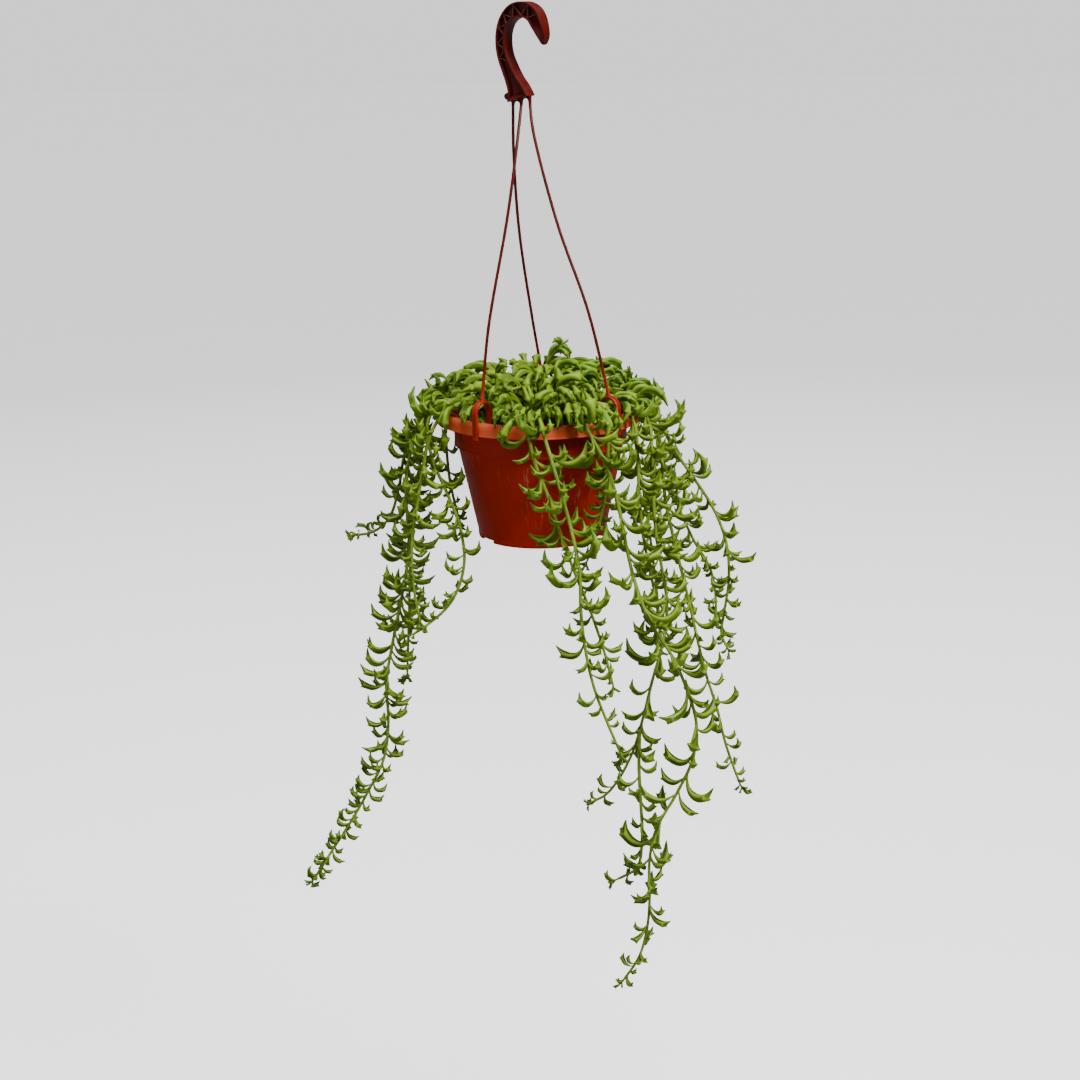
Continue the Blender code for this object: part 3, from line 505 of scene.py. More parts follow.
class EffectLibrary:
    """Node groups of the shared effects, each built once."""

    def __init__(self) -> None:
        """Know how each effect is built."""
        self._builders: dict[Effect, Callable[[NodeTree], None]] = {
            Effect.MOTTLE: self._build_mottle,
            Effect.GRAIN: self._build_grain,
            Effect.DRIPS: self._build_drips,
            Effect.SETTLED: self._build_settled,
        }

    def use(self, bench: NodeBench, effect: Effect, **inputs: object) -> Node:
        """Place an effect in a material.

        Args:
            bench: The material's bench.
            effect: Which effect.
            **inputs: Values or sockets for its inputs, with _ for each space in their names.

        Returns:
            The group node.
        """
        group = bpy.data.node_groups.get(effect.value)
        if group is None:
            group = bpy.data.node_groups.new(effect.value, "ShaderNodeTree")
            self._builders[effect](group)
        node = bench.add("ShaderNodeGroup", node_tree=group)
        for name, value in inputs.items():
            bench.set(node.inputs[name.replace("_", " ")], value)
        return node

    @staticmethod
    def _sockets(group: NodeTree, inputs: dict[str, str], outputs: dict[str, str]
                 ) -> tuple[NodeBench, bpy_prop_collection, bpy_prop_collection]:
        """Name a group's inputs and outputs.

        Args:
            group: The group.
            inputs: Socket type of each input by name.
            outputs: Socket type of each output by name.

        Returns:
            Its bench, the sockets of what it's given and those of what it makes.
        """
        for way, sockets in (("INPUT", inputs), ("OUTPUT", outputs)):
            for name, kind in sockets.items():
                group.interface.new_socket(name, in_out=way, socket_type="NodeSocket" + kind)
        bench = NodeBench(group)
        return (bench, bench.add("NodeGroupInput").outputs,
                bench.add("NodeGroupOutput").inputs)

    def _build_mottle(self, group: NodeTree) -> None:
        """Two sizes of soft clouds between two colours.

        Args:
            group: The empty group.
        """
        bench, given, made = self._sockets(
            group, {"Light": "Color", "Dark": "Color", "Scale": "Float", "Contrast": "Float"},
            {"Color": "Color", "Mask": "Float"})
        place = bench.place()
        broad = bench.noise(place, given["Scale"], 2.0)
        fine = bench.noise(place, bench.times(given["Scale"], 5.3), 4.0)
        both = bench.math("ADD", bench.times(broad, 0.65), bench.times(fine, 0.35))
        spread = bench.times(bench.math("SUBTRACT", both, 0.5), given["Contrast"])
        mask = bench.math("ADD", spread, 0.5, clamp=True)
        bench.set(made["Mask"], mask)
        bench.set(made["Color"], bench.mix(mask, given["Light"], given["Dark"]))

    def _build_grain(self, group: NodeTree) -> None:
        """Fine relief: a pebbled skin with faint longer swells.

        Args:
            group: The empty group.
        """
        bench, given, made = self._sockets(
            group, {"Scale": "Float", "Swell": "Float"}, {"Height": "Float"})
        place = bench.place()
        cells = bench.add("ShaderNodeTexVoronoi", {"Vector": place, "Scale": given["Scale"]})
        swell = bench.noise(place, bench.times(given["Scale"], 0.12), 3.0)
        height = bench.math("ADD", bench.times(cells.outputs["Distance"], 0.35),
                            bench.times(swell, given["Swell"]))
        bench.set(made["Height"], height)

    def _build_drips(self, group: NodeTree) -> None:
        """Narrow upright marks that water leaves as it dries, broken and uneven.

        Args:
            group: The empty group.
        """
        bench, given, made = self._sockets(
            group, {"Scale": "Float", "Amount": "Float"}, {"Mask": "Float"})
        place = bench.place()
        streaks = bench.noise(bench.stretch(place, (1.0, 1.0, 0.06)), given["Scale"], 6.0, 0.7)
        patches = bench.noise(bench.stretch(place, (1.0, 1.0, 0.6)), 22.0, 2.0)
        narrow = bench.ramp(streaks, 0.56, 0.66)
        where = bench.ramp(patches, 0.50, 0.60)
        both = bench.times(narrow, where)
        bench.set(made["Mask"], bench.times(both, given["Amount"], True))

    def _build_settled(self, group: NodeTree) -> None:
        """Dust on what faces up, in thin clouds.

        Args:
            group: The empty group.
        """
        bench, given, made = self._sockets(
            group, {"Amount": "Float", "Scale": "Float"}, {"Mask": "Float"})
        facing = bench.add("ShaderNodeSeparateXYZ",
                           {"Vector": bench.add("ShaderNodeNewGeometry").outputs["Normal"]})
        upward = bench.ramp(facing.outputs["Z"], 0.15, 0.95)
        clouds = bench.ramp(bench.noise(bench.place(), given["Scale"], 5.0), 0.35, 0.75)
        both = bench.times(upward, clouds)
        bench.set(made["Mask"], bench.times(both, given["Amount"], True))


def new_material(name: str) -> tuple[Material, NodeBench, Node]:
    """Make a material with its shader.

    Args:
        name: The material's name.

    Returns:
        The material, its bench and its Principled BSDF.
    """
    finish = bpy.data.materials.new(name)
    finish.use_nodes = True
    return finish, NodeBench(finish.node_tree), finish.node_tree.nodes["Principled BSDF"]


@dataclass(frozen=True)
class Mottle:
    """Two colours in soft clouds: how close the clouds are and how sharply they part."""

    light: Colour
    dark: Colour
    closeness: float
    contrast: float

    def spread(self, bench: NodeBench, effects: EffectLibrary) -> Node:
        """Place the mottle in a material."""
        return effects.use(bench, Effect.MOTTLE, Light=self.light, Dark=self.dark,
                           Scale=self.closeness, Contrast=self.contrast)


@dataclass(frozen=True)
class Relief:
    """Fine relief of a surface: how close its grain is, how it swells and how much it shows."""

    closeness: float
    swell: float
    strength: float
    depth: float

    def carve(self, bench: NodeBench, shader: Node, effects: EffectLibrary) -> None:
        """Let a shader show the relief.

        Args:
            bench: The material's bench.
            shader: Its Principled BSDF.
            effects: The shared effects.
        """
        grain = effects.use(bench, Effect.GRAIN, Scale=self.closeness, Swell=self.swell)
        bump = bench.add("ShaderNodeBump", {"Height": grain.outputs["Height"],
                                            "Strength": self.strength, "Distance": self.depth})
        bench.set(shader.inputs["Normal"], bump.outputs["Normal"])


@dataclass(frozen=True)
class MouldedPlastic:
    """Brown-red moulded plastic with faint mottle, dried drips and dust, and a second colour
    towards one end in height: on the pot a painted highlight on the rim, which faces the light, and
    on the hanger a lighter red at its clips. Pale ribs carry a painted highlight.
    """

    name: str
    colours: Mottle
    # Pale colour of the drips and dust, and of the painted highlight on the hook's ribs.
    mark_and_highlight: Colour
    marks: float
    dust: float
    roughness: float
    shine: float
    light_band_and_tint: Colour
    light_band_heights: Pair
    drip_closeness: float = 420.0
    dust_closeness: float = 160.0
    rib_highlight: float = 0.28
    dull_drips: float = 0.25
    dull_clouds: float = 0.10
    dull_dust: float = 0.2
    relief: Relief = Relief(1500.0, 0.9, 0.10, 0.0004)

    def build(self, effects: EffectLibrary) -> Material:
        """Make the material.

        Args:
            effects: The shared effects.

        Returns:
            The material.
        """
        finish, bench, shader = new_material(self.name)
        base = self.colours.spread(bench, effects)
        drips = effects.use(bench, Effect.DRIPS, Scale=self.drip_closeness, Amount=self.marks)
        dust = effects.use(bench, Effect.SETTLED, Amount=self.dust, Scale=self.dust_closeness)
        height = bench.add("ShaderNodeSeparateXYZ", {"Vector": bench.place()}).outputs["Z"]
        # Painted highlight: the hook's ribs are mixed towards the pale mark colour so that they
        # read as lit edges in the dark recess.
        rib_highlight = bench.mix(bench.times(bench.value_of("worn"), self.rib_highlight),
                           base.outputs["Color"], self.mark_and_highlight)
        # Painted highlight: the pot's rim and the top of its skirt are mixed to a lighter colour
        # because they face the light from above; on the hanger the same mix gives the clips a
        # lighter red.
        light_banded = bench.mix(bench.ramp(height, *self.light_band_heights), rib_highlight, self.light_band_and_tint)
        marked = bench.mix(drips.outputs["Mask"], light_banded, self.mark_and_highlight)
        dusty = bench.mix(dust.outputs["Mask"], marked, self.mark_and_highlight)
        bench.set(shader.inputs["Base Color"], dusty)
        dull = bench.math("ADD",
                          bench.times(drips.outputs["Mask"], self.dull_drips),
                          bench.times(base.outputs["Mask"], self.dull_clouds))
        dull = bench.math("ADD", dull,
                          bench.times(dust.outputs["Mask"], self.dull_dust))
        bench.set(shader.inputs["Roughness"], bench.math("ADD", dull, self.roughness, True))
        self.relief.carve(bench, shader, effects)
        shader.inputs["Specular IOR Level"].default_value = self.shine
        return finish


@dataclass(frozen=True)
class LooseGrains:
    """Rough, matt and mottled stuff of the soil."""

    name: str
    colours: Mottle
    roughness: Pair
    relief: Relief

    def build(self, effects: EffectLibrary) -> Material:
        """Make the material.

        Args:
            effects: The shared effects.

        Returns:
            The material.
        """
        finish, bench, shader = new_material(self.name)
        base = self.colours.spread(bench, effects)
        bench.set(shader.inputs["Base Color"], base.outputs["Color"])
        bench.set(shader.inputs["Roughness"],
                  bench.ramp(base.outputs["Mask"], 0.0, 1.0, *self.roughness))
        self.relief.carve(bench, shader, effects)
        return finish


@dataclass(frozen=True)
class FleshyGreen:
    """Skin of the stems and leaves: waxy green with windows, pale edges and dark points, and
    painted shade on leaves whose tone is high.
    """

    name: str = "fleshy_green"
    leaf: Mottle = Mottle((0.142, 0.308, 0.003), (0.055, 0.145, 0.002), 120.0, 1.8)
    stem: Mottle = Mottle((0.28, 0.41, 0.035), (0.11, 0.20, 0.012), 75.0, 2.2)
    # Dark green of the windows, and of the painted shade on the mat's low leaves.
    deep: Colour = (0.008, 0.031, 0.001)
    edge: Colour = (0.43, 0.60, 0.040)
    young: Colour = (0.045, 0.110, 0.012)
    point: Colour = (0.034, 0.022, 0.016)
    bloom: Colour = (0.42, 0.52, 0.36)
    tone_share: float = 0.75
    shaded_tones: Pair = (0.9, 1.9)
    shade_share: float = 0.8
    window_share: float = 0.92
    edge_share: float = 0.75
    young_share: float = 0.62
    stalk: Pair = (0.10, 0.42)
    dust: float = 0.03
    dust_closeness: float = 340.0
    roughness: float = 0.30
    dull_clouds: float = 0.16
    relief: Relief = Relief(2300.0, 1.0, 0.16, 0.0004)
    flesh: float = 0.12
    flesh_radius: Colour = (0.6, 1.0, 0.25)
    flesh_depth: float = 0.0018
    shine: float = 0.24

    def build(self, effects: EffectLibrary) -> Material:
        """Make the material.

        Args:
            effects: The shared effects.

        Returns:
            The material.
        """
        finish, bench, shader = new_material(self.name)
        tone, along = bench.value_of("tone"), bench.value_of("along")
        leafy = bench.value_of("leafy")
        clouds = self.leaf.spread(bench, effects)
        # Random tone darkens a leaf towards its dark green, and high tone towards the deep colour;
        # the mat's low leaves get extra tone, which is painted shade.
        bright = bench.mix(bench.times(tone, self.tone_share, True),
                           clouds.outputs["Color"], self.leaf.dark)
        skin = bench.mix(bench.ramp(tone, *self.shaded_tones, 0.0, self.shade_share), bright,
                         self.deep)
        for name, share, colour in (("window", self.window_share, self.deep),
                                    ("ridge", self.edge_share, self.edge),
                                    ("young", self.young_share, self.young)):
            skin = bench.mix(bench.times(bench.value_of(name), share), skin, colour)
        fresh = self.stem.spread(bench, effects)
        stalk = bench.times(bench.ramp(along, *self.stalk), leafy)
        plant = bench.mix(stalk, fresh.outputs["Color"], skin)
        pointed = bench.mix(bench.value_of("tipped"), plant, self.point)
        dust = effects.use(bench, Effect.SETTLED, Amount=self.dust, Scale=self.dust_closeness)
        bench.set(shader.inputs["Base Color"],
                  bench.mix(dust.outputs["Mask"], pointed, self.bloom))
        dull = bench.times(clouds.outputs["Mask"], self.dull_clouds)
        bench.set(shader.inputs["Roughness"], bench.math("ADD", dull, self.roughness, True))
        self.relief.carve(bench, shader, effects)
        shader.inputs["Subsurface Weight"].default_value = self.flesh
        shader.inputs["Subsurface Radius"].default_value = self.flesh_radius
        shader.inputs["Subsurface Scale"].default_value = self.flesh_depth
        shader.inputs["Specular IOR Level"].default_value = self.shine
        return finish


@dataclass(frozen=True)
class PaleFloor:
    """Plain pale floor, faintly uneven, that throws little light up and is clear from below."""

    name: str = "pale_floor"
    colours: Mottle = Mottle((0.97, 0.97, 0.99), (0.94, 0.94, 0.96), 3.0, 1.0)
    unseen: Colour = (0.20, 0.19, 0.18)
    near_and_far: Pair = (1.1, 4.6)
    lift: Pair = (1.0, 0.19)
    glow: Colour = (1.0, 1.0, 1.02)
    glow_strength: float = 1.15
    roughness: float = 0.9

    def build(self, effects: EffectLibrary) -> Material:
        """Make the material.

        Args:
            effects: The shared effects.

        Returns:
            The material.
        """
        finish, bench, shader = new_material(self.name)
        base = self.colours.spread(bench, effects)
        seen = bench.add("ShaderNodeLightPath").outputs["Is Camera Ray"]
        bench.set(shader.inputs["Base Color"],
                  bench.mix(seen, self.unseen, base.outputs["Color"]))
        away = bench.add("ShaderNodeVectorMath", {0: bench.place()},
                         operation="LENGTH").outputs["Value"]
        lifted = bench.times(seen, bench.ramp(away, *self.near_and_far, *self.lift))
        bench.set(shader.inputs["Emission Color"], bench.mix(lifted, (0.0, 0.0, 0.0), self.glow))
        shader.inputs["Emission Strength"].default_value = self.glow_strength
        shader.inputs["Roughness"].default_value = self.roughness
        clear = bench.add("ShaderNodeBsdfTransparent")
        below = bench.add("ShaderNodeNewGeometry").outputs["Backfacing"]
        bench.show_either(below, shader.outputs["BSDF"], clear.outputs["BSDF"],
                          finish.node_tree.nodes["Material Output"])
        return finish


# The pot, the soil and the hanger


@dataclass(frozen=True)
class Pot:
    """Thin-walled hanging pot with a turned-down rim, a collar, a step and a foot ring."""

    rim_radius: float = 75.0
    rim_skirt: float = 9.0
    rim_wall: float = 1.6
    mouth_radius: float = 66.6
    height: float = 97.0
    collar_radius: float = 65.0
    collar_taper: float = 0.8
    collar_depth: float = 26.0
    step_height: float = 1.4
    body_radius: float = 62.6
    foot_radius: float = 48.6
    foot_width: float = 3.8
    foot_height: float = 3.0
    wall: float = 1.8
    notch_bearings: tuple[float, ...] = (-60.0, 60.0, 180.0)
    notch_width: float = 18.0
    drain_count: int = 4
    drain_radius: float = 3.5
    drain_circle: float = 27.0
    drain_sides: int = 24
    notch_overrun: float = 4.0
    notch_play: float = 0.5
    crease: float = 38.0
    segments: int = 144

    def _profile(self) -> list[Pair]:
        """Section of the wall, from the mouth over the rim and down the outside and back.

        Returns:
            The section's points as radius and height.
        """
        floor = -self.height + self.foot_height
        skirt_in = self.rim_radius - self.rim_wall
        collar_in = self.collar_radius - self.wall
        foot_in = self.foot_radius - self.foot_width
        corners = [
            (self.mouth_radius, -1.2, 0.5), (self.mouth_radius + 1.2, 0.0, 0.9),
            (self.rim_radius - 2.4, 0.0, 1.4), (self.rim_radius - 0.9, -2.2, 1.6),
            (self.rim_radius - 0.3, -self.rim_skirt + 3.4, 1.2),
            (self.rim_radius, -self.rim_skirt + 1.0, 0.3),
            (self.rim_radius + 0.35, -self.rim_skirt + 0.7, 0.3),
            (self.rim_radius + 0.35, -self.rim_skirt, 0.25), (skirt_in, -self.rim_skirt, 0.3),
            (skirt_in - 1.4, -2.4, 0.5), (self.collar_radius, -2.6, 0.6),
            (self.collar_radius - 0.2, -self.collar_depth + 1.6, 0.4),
            (self.collar_radius + 0.1, -self.collar_depth + 1.3, 0.3),
            (self.collar_radius + 0.1, -self.collar_depth + 0.2, 0.4),
            (self.body_radius - 0.2, -self.collar_depth - 0.5 * self.step_height, 0.5),
            (self.foot_radius + 0.2, -self.height + 5.0, 0.6),
            (self.foot_radius, -self.height, 0.7), (foot_in, -self.height, 0.6),
            (foot_in - 0.5, floor, 0.5), (0.0, floor, 0.0), (0.0, floor + self.wall, 0.0),
            (self.foot_radius - self.wall, floor + self.wall, 2.0),
            (self.body_radius - self.wall, -self.collar_depth - 1.0, 0.8),
            (collar_in - self.collar_taper, -self.collar_depth + self.step_height, 0.8),
            (collar_in, -3.6, 0.8),
        ]
        return rounded_profile(corners)

    def build(self, finish: Material) -> Object:
        """Build the pot with its foot notches and drain holes.

        Args:
            finish: The pot's plastic.

        Returns:
            The pot.
        """
        shape = MeshBuilder()
        rings: list[list[int]] = []
        for radius, height in self._profile():
            if radius < 1e-6:
                rings.append([shape.add_point(Vector((0.0, 0.0, height)))])
            else:
                rings.append(shape.add_circle(radius, height, self.segments))
        for low, high in zip(rings, rings[1:] + rings[:1]):
            if len(low) == len(high) == 1:
                continue
            if len(high) == 1:
                shape.add_fan(low, high[0])
            elif len(low) == 1:
                shape.add_fan(high, low[0], outward=False)
            else:
                shape.add_rings([low, high], False, False)
        pot = shape.finish("pot_shell", finish, self.crease)
        self._cut(pot, finish)
        return dress(pot, "pot")

    def _cut(self, pot: Object, finish: Material) -> None:
        """Cut the foot notches and the drain holes.

        Args:
            pot: The pot.
            finish: Material of the cut faces.
        """
        floor = -self.height + self.foot_height
        shape = bmesh.new()
        for bearing in self.notch_bearings:
            spot = polar(self.foot_radius - self.foot_width / 2, bearing,
                         floor - self.foot_height / 2 - self.notch_play / 2)
            place = Matrix.Translation(spot) @ Matrix.Rotation(math.radians(bearing), 4, "Z")
            size = Matrix.Diagonal((self.notch_width, self.foot_width + self.notch_overrun,
                                    self.foot_height - self.notch_play, 1.0))
            bmesh.ops.create_cube(shape, size=1.0, matrix=POT_FRAME @ place @ size)
        for i in range(self.drain_count):
            spot = polar(self.drain_circle, 360.0 * (i + 0.5) / self.drain_count, floor)
            bmesh.ops.create_cone(shape, cap_ends=True, segments=self.drain_sides,
                                  radius1=self.drain_radius, radius2=self.drain_radius,
                                  depth=4 * self.wall,
                                  matrix=POT_FRAME @ Matrix.Translation(spot))
        mesh = bpy.data.meshes.new("pot_cutter")
        shape.to_mesh(mesh)
        shape.free()
        cutter = link_mesh(mesh, finish)
        cut = pot.modifiers.new("cut", "BOOLEAN")
        cut.operation, cut.object, cut.solver = "DIFFERENCE", cutter, "EXACT"
        apply_modifiers(pot, self.crease)
        bpy.data.objects.remove(cutter)


@dataclass(frozen=True)
class Soil:
    """Peat fill with a lumpy top, crumbs and a few pale grains."""

    pot: Pot
    edge_depth: float = 15.0
    crown: float = 4.5
    lump_width: float = 11.0
    lump_height: float = 1.3
    rough: Table = ((2.6, 0.55), (1.1, 0.25))
    floor_gap: float = 0.3
    wall_gap: float = 0.35
    segments: int = 96
    rings: int = 30
    crumb_count: int = 520
    crumb_sizes: Pair = (0.5, 1.9)
    grain_count: int = 46
    grain_sizes: Pair = (0.6, 1.35)
    bare_edge: float = 4.0
    grain_rise: float = 0.25
    grain_tilt: float = 0.6
    grain_bumps: Pair = (0.78, 1.15)
    seed: int = 7

    def height(self, x: float, y: float) -> float:
        """Height of the soil's lumpy surface at a place in the pot."""
        reach = math.hypot(x, y) / self.pot.mouth_radius
        lumps = self.lump_height * noise.noise(Vector((x, y, 0.0)) / self.lump_width)
        return -self.edge_depth + self.crown * (1.0 - reach * reach) + lumps

    def build(self, mix: Material, grit: Material) -> list[Object]:
        """Build the fill, its crumbs and its pale grains.

        Args:
            mix: The peat's material.
            grit: The pale grains' material.

        Returns:
            The pieces.
        """
        pot, shape = self.pot, MeshBuilder()
        floor = -pot.height + pot.foot_height + pot.wall + self.floor_gap
        inset = pot.wall + self.wall_gap
        edge = pot.collar_radius - pot.collar_taper / 2 - inset
        lower = [(pot.foot_radius - inset - 0.4, floor),
                 (pot.body_radius - inset, -pot.collar_depth - 1.2),
                 (pot.collar_radius - pot.collar_taper - inset, -pot.collar_depth + 1.2)]
        rings = [shape.add_circle(radius, height, self.segments) for radius, height in lower]
        for k in range(self.rings):
            radius = edge * (1.0 - k / self.rings)
            ring = []
            for i in range(self.segments):
                spot = polar(radius, 360.0 * i / self.segments)
                rough = sum(noise.noise(spot / wide) * high for wide, high in self.rough)
                spot.z = self.height(spot.x, spot.y) + rough
                ring.append(shape.add_point(spot))
            rings.append(ring)
        shape.add_rings(rings, cap_end=False)
        crown = shape.add_point(Vector((0.0, 0.0, self.height(0.0, 0.0))))
        shape.add_fan(rings[-1], crown)
        fill = dress(shape.finish("soil_fill", mix), "soil")
        rng = random.Random(self.seed)
        crumbs = self._scatter(rng, "soil_crumbs", mix, self.crumb_count, self.crumb_sizes)
        grains = self._scatter(rng, "soil_grit", grit, self.grain_count, self.grain_sizes)
        return [fill, crumbs, grains]

    def _scatter(self, rng: random.Random, name: str, finish: Material, count: int,
                 sizes: Pair) -> Object:
        """Strew small uneven lumps, half sunk, over the soil.

        Args:
            rng: Seeded source of chance.
            name: The piece's name.
            finish: Its material.
            count: How many lumps.
            sizes: Smallest and largest radius.

        Returns:
            One piece with all the lumps.
        """
        ball = bmesh.new()
        bmesh.ops.create_icosphere(ball, subdivisions=1, radius=1.0)
        corners = [v.co.copy() for v in ball.verts]
        faces = [tuple(v.index for v in f.verts) for f in ball.faces]
        ball.free()
        shape = MeshBuilder()
        reach = self.pot.collar_radius - self.pot.wall - self.bare_edge
        for _ in range(count):
            spot = polar(reach * math.sqrt(rng.random()), rng.uniform(0.0, 360.0))
            size = rng.uniform(*sizes) * rng.uniform(0.6, 1.0)
            spot.z = self.height(spot.x, spot.y) + self.grain_rise * size
            squash = Vector((1.0, rng.uniform(0.6, 1.0), rng.uniform(0.5, 0.9)))
            turn = Matrix.Rotation(rng.uniform(0, math.tau), 3, "Z") @ Matrix.Rotation(
                rng.uniform(-self.grain_tilt, self.grain_tilt), 3, "X")
            start = len(shape.points)
            for corner in corners:
                bumpy = corner * rng.uniform(*self.grain_bumps) * size
                shape.add_point(spot + turn @ Vector(a * b for a, b in zip(bumpy, squash)))
            shape.faces += [tuple(start + i for i in face) for face in faces]
        return dress(shape.finish(name, finish))


@dataclass(frozen=True)
class Leg:
    """Leg of the hanger: its clip's bearing, where along the hook it starts, and its way."""

    bearing: float
    root: float
    way: Route


@dataclass(frozen=True)
class Hanger:
    """Hook with recessed, ribbed sides, three thin legs and three clips over the rim."""

    pot: Pot
    seat: Vector = field(default_factory=lambda: Vector((-4.0, 0.0, 282.0)))
    turn: float = 38.0
    thickness: float = 10.0
    flange: float = 1.3
    web: float = 2.4
    rib: float = 0.5
    rib_depth: float = 1.0
    tip_share: float = 0.42
    tip_length: float = 15.0
    tip_curve: float = 0.7
    nose: Table = ((-0.3, 0.98), (0.2, 0.95), (0.9, 0.72), (1.4, 0.35))
    line_steps: int = 6
    recess_rise: tuple[int, int] = (8, 16)
    recess_fall: tuple[int, int] = (0, 5)
    pockets: int = 12
    rib_margins: tuple[int, int] = (16, 22)
    soft_edge: float = 0.35
    soft_angle: float = 42.0
    hook_crease: float = 40.0
    crease: float = 50.0
    leg_radius: float = 1.15
    leg_step: float = 2.4
    leg_sunk: Pair = (6.0, 0.6)
    leg_curve_steps: int = 12
    leg_sides: int = 14
    top_flare: Triple = (1.0, 8.5, 0.15)
    clip_flare: Triple = (0.5, 6.0, 0.45)
    arch_share: float = 1.1
    arch_sides: int = 10
    arch_steps: int = 12
    arch_rise: float = 0.4
    rib_overlap: float = 0.2
    clip_width: float = 4.6
    clip_thickness: float = 2.0
    clip_gap: float = 0.35
    clip_top: float = 16.5
    clip_foot: float = 2.4
    clip_inner_radius: float = 60.8
    clip_inner_depth: float = 7.5
    clip_step: float = 1.4
    clip_turns: int = 20
    clip_section: Table = (
        (-1.0, -0.7), (-0.8, -1.0), (0.8, -1.0), (1.0, -0.7), (1.0, 0.7), (0.84, 1.0),
        (0.48, 1.0), (0.32, 0.1), (-0.32, 0.1), (-0.48, 1.0), (-0.84, 1.0), (-1.0, 0.7))
    barb: Table = ((0.9, -0.1), (-3.2, -0.4), (-3.3, -0.8), (0.9, -1.9))
    barb_inset: float = 0.4
    leg_top: float = -54.0
    line: Route = (
        (15.6, -17.8, 3.4), (15.0, -13.0, 6.8), (11.6, -4.6, 9.2), (7.4, 2.0, 10.4),
        (0.0, 5.4, 10.8), (-9.2, 4.4, 10.2), (-16.4, -1.0, 8.6), (-20.2, -9.0, 8.0),
        (-21.0, -18.0, 8.0), (-19.4, -27.0, 8.2), (-15.4, -36.0, 9.0), (-11.4, -44.0, 10.6),
        (-7.9, -51.0, 14.6), (-6.4, -56.5, 18.6))
    legs: tuple[Leg, ...] = (
        Leg(-38.0, -6.2, ((-14, -13, 185), (-21, -25, 142), (-36, -45, 67))),
        Leg(47.5, 1.6, ((-1, -8, 204), (15, -23, 139), (36, -38, 77))),
        Leg(178.5, -14.0, ((-15.5, 18, 188), (-13, 38, 129), (-5, 57, 62))))
    knob: Pair = (-17.2, -54.0)
    knob_slope: float = 0.6
    knob_turning: Table = (
        (4.0, 1.3), (0.6, 1.3), (0.1, 2.1), (-0.7, 2.5), (-2.8, 2.4), (-3.4, 1.4))

    def point(self, along: float, up: float, out: float = 0.0) -> Vector:
        """Pot-frame place of a point in the hook's turned plane."""
        turn = math.radians(self.turn)
        plane = Vector((math.cos(turn), -math.sin(turn), 0.0))
        face = Vector((-math.sin(turn), -math.cos(turn), 0.0))
        return self.seat + plane * along + face * out + Vector((0.0, 0.0, up))

    def clip_arch(self) -> Pair:
        """Radius of a clip's arch and the height it springs from, on its middle line."""
        radius = (self.pot.rim_radius + self.clip_gap + self.clip_thickness / 2
                  - self.clip_inner_radius) / 2
        return radius, self.clip_top - radius - self.clip_thickness / 2

    def outline(self, inset: float) -> tuple[Path, Path]:
        """Left and right edges of the hook in its plane.

        Args:
            inset: How far they are drawn in from its outline.

        Returns:
            The left and the right edge, with X along the plane and Z up.
        """
        middle = smooth_path([(a, 0.0, u) for a, u, _ in self.line], self.line_steps)
        widths = smooth_path([(w, 0.0, 10.0 * i) for i, (_, _, w) in enumerate(self.line)],
                             self.line_steps)
        left, right = [], []
        for i, (point, wide) in enumerate(zip(middle, widths)):
            course = course_at(middle, i)
            aside = Vector((-course.z, 0.0, course.x))
            half = wide.x / 2 - inset
            left.append(point + aside * half)
            right.append(point - aside * half)
        return left, right

    def build(self, finish: Material) -> list[Object]:
        """Build the hanger.

        Args:
            finish: The hanger's plastic.

        Returns:
            The legs with their clips, and the hook.
        """
        hook = self._hook(finish)
        rest = MeshBuilder()
        for leg in self._legs_along():
            self._add_leg(rest, leg)
        for leg in self.legs:
            self._add_clip(rest, leg.bearing)
        self._add_arches(rest)
        self._add_knob(rest)
        self._add_ribs(rest)
        legs = dress(rest.finish("hanger_legs", finish, self.crease))
        return [legs, dress(hook, "hanger")]

    def _hook(self, finish: Material) -> Object:
        """Build the hook: a bar recessed on both sides, for the zigzag of thin ribs that is built
        with the legs.

        Args:
            finish: The hanger's plastic.

        Returns:
            The hook.
        """
        left, right = self.outline(0.0)
        inner_left, inner_right = self.outline(self.flange)
        shape = MeshBuilder()
        rings = []
        for i, (a, b) in enumerate(zip(left, right)):
            from_tip = ((a + b) / 2 - (left[0] + right[0]) / 2).length
            grown = min(1.0, from_tip / self.tip_length) ** self.tip_curve
            half = self.thickness / 2 * lerp(self.tip_share, 1.0, grown)
            sunk = smoothstep(*self.recess_rise, i) * smoothstep(*self.recess_fall,
                                                                 len(left) - 1 - i)
            deep = lerp(half - 0.02, self.web / 2, sunk)
            c, d = inner_left[i], inner_right[i]
            face = ((a, half), (c, half), (c, deep), (d, deep), (d, half), (b, half))
            back = [(p, -out) for p, out in reversed(face)]
            rings.append(self._ring(shape, (*face, *back)))
        shape.add_rings(rings)
        self._add_nose(shape, left, right)
        hook = shape.finish("hanger_hook", finish, self.hook_crease)
        soft = hook.modifiers.new("soft", "BEVEL")
        soft.width, soft.segments = self.soft_edge * MM, 2
        soft.angle_limit = math.radians(self.soft_angle)
        apply_modifiers(hook, self.crease)
        return hook

    def _ring(self, shape: MeshBuilder, corners: Iterable[tuple[Vector, float]],
              worn: float = 0.0) -> list[int]:
        """Add points of the hook's plane, each with its distance out of it."""
        return [shape.add_point(self.point(p.x, p.z, out), worn=worn) for p, out in corners]

    def _add_nose(self, shape: MeshBuilder, left: Path, right: Path) -> None:
        """Round off the hook's tip.

        Args:
            shape: Mesh to add to.
            left: The hook's left edge, its tip first.
            right: Its right edge.
        """
        nose = (left[0] + right[0] - left[1] - right[1]).normalized()
        middle, half = (left[0] + right[0]) / 2, self.thickness / 2 * self.tip_share
        rings = []
        for push, size in self.nose:
            a, b = (middle + (edge[0] - middle) * size + nose * push for edge in (left, right))
            rings.append(self._ring(shape, ((a, half * size), (b, half * size),
                                            (b, -half * size), (a, -half * size))))
        shape.add_rings(rings)

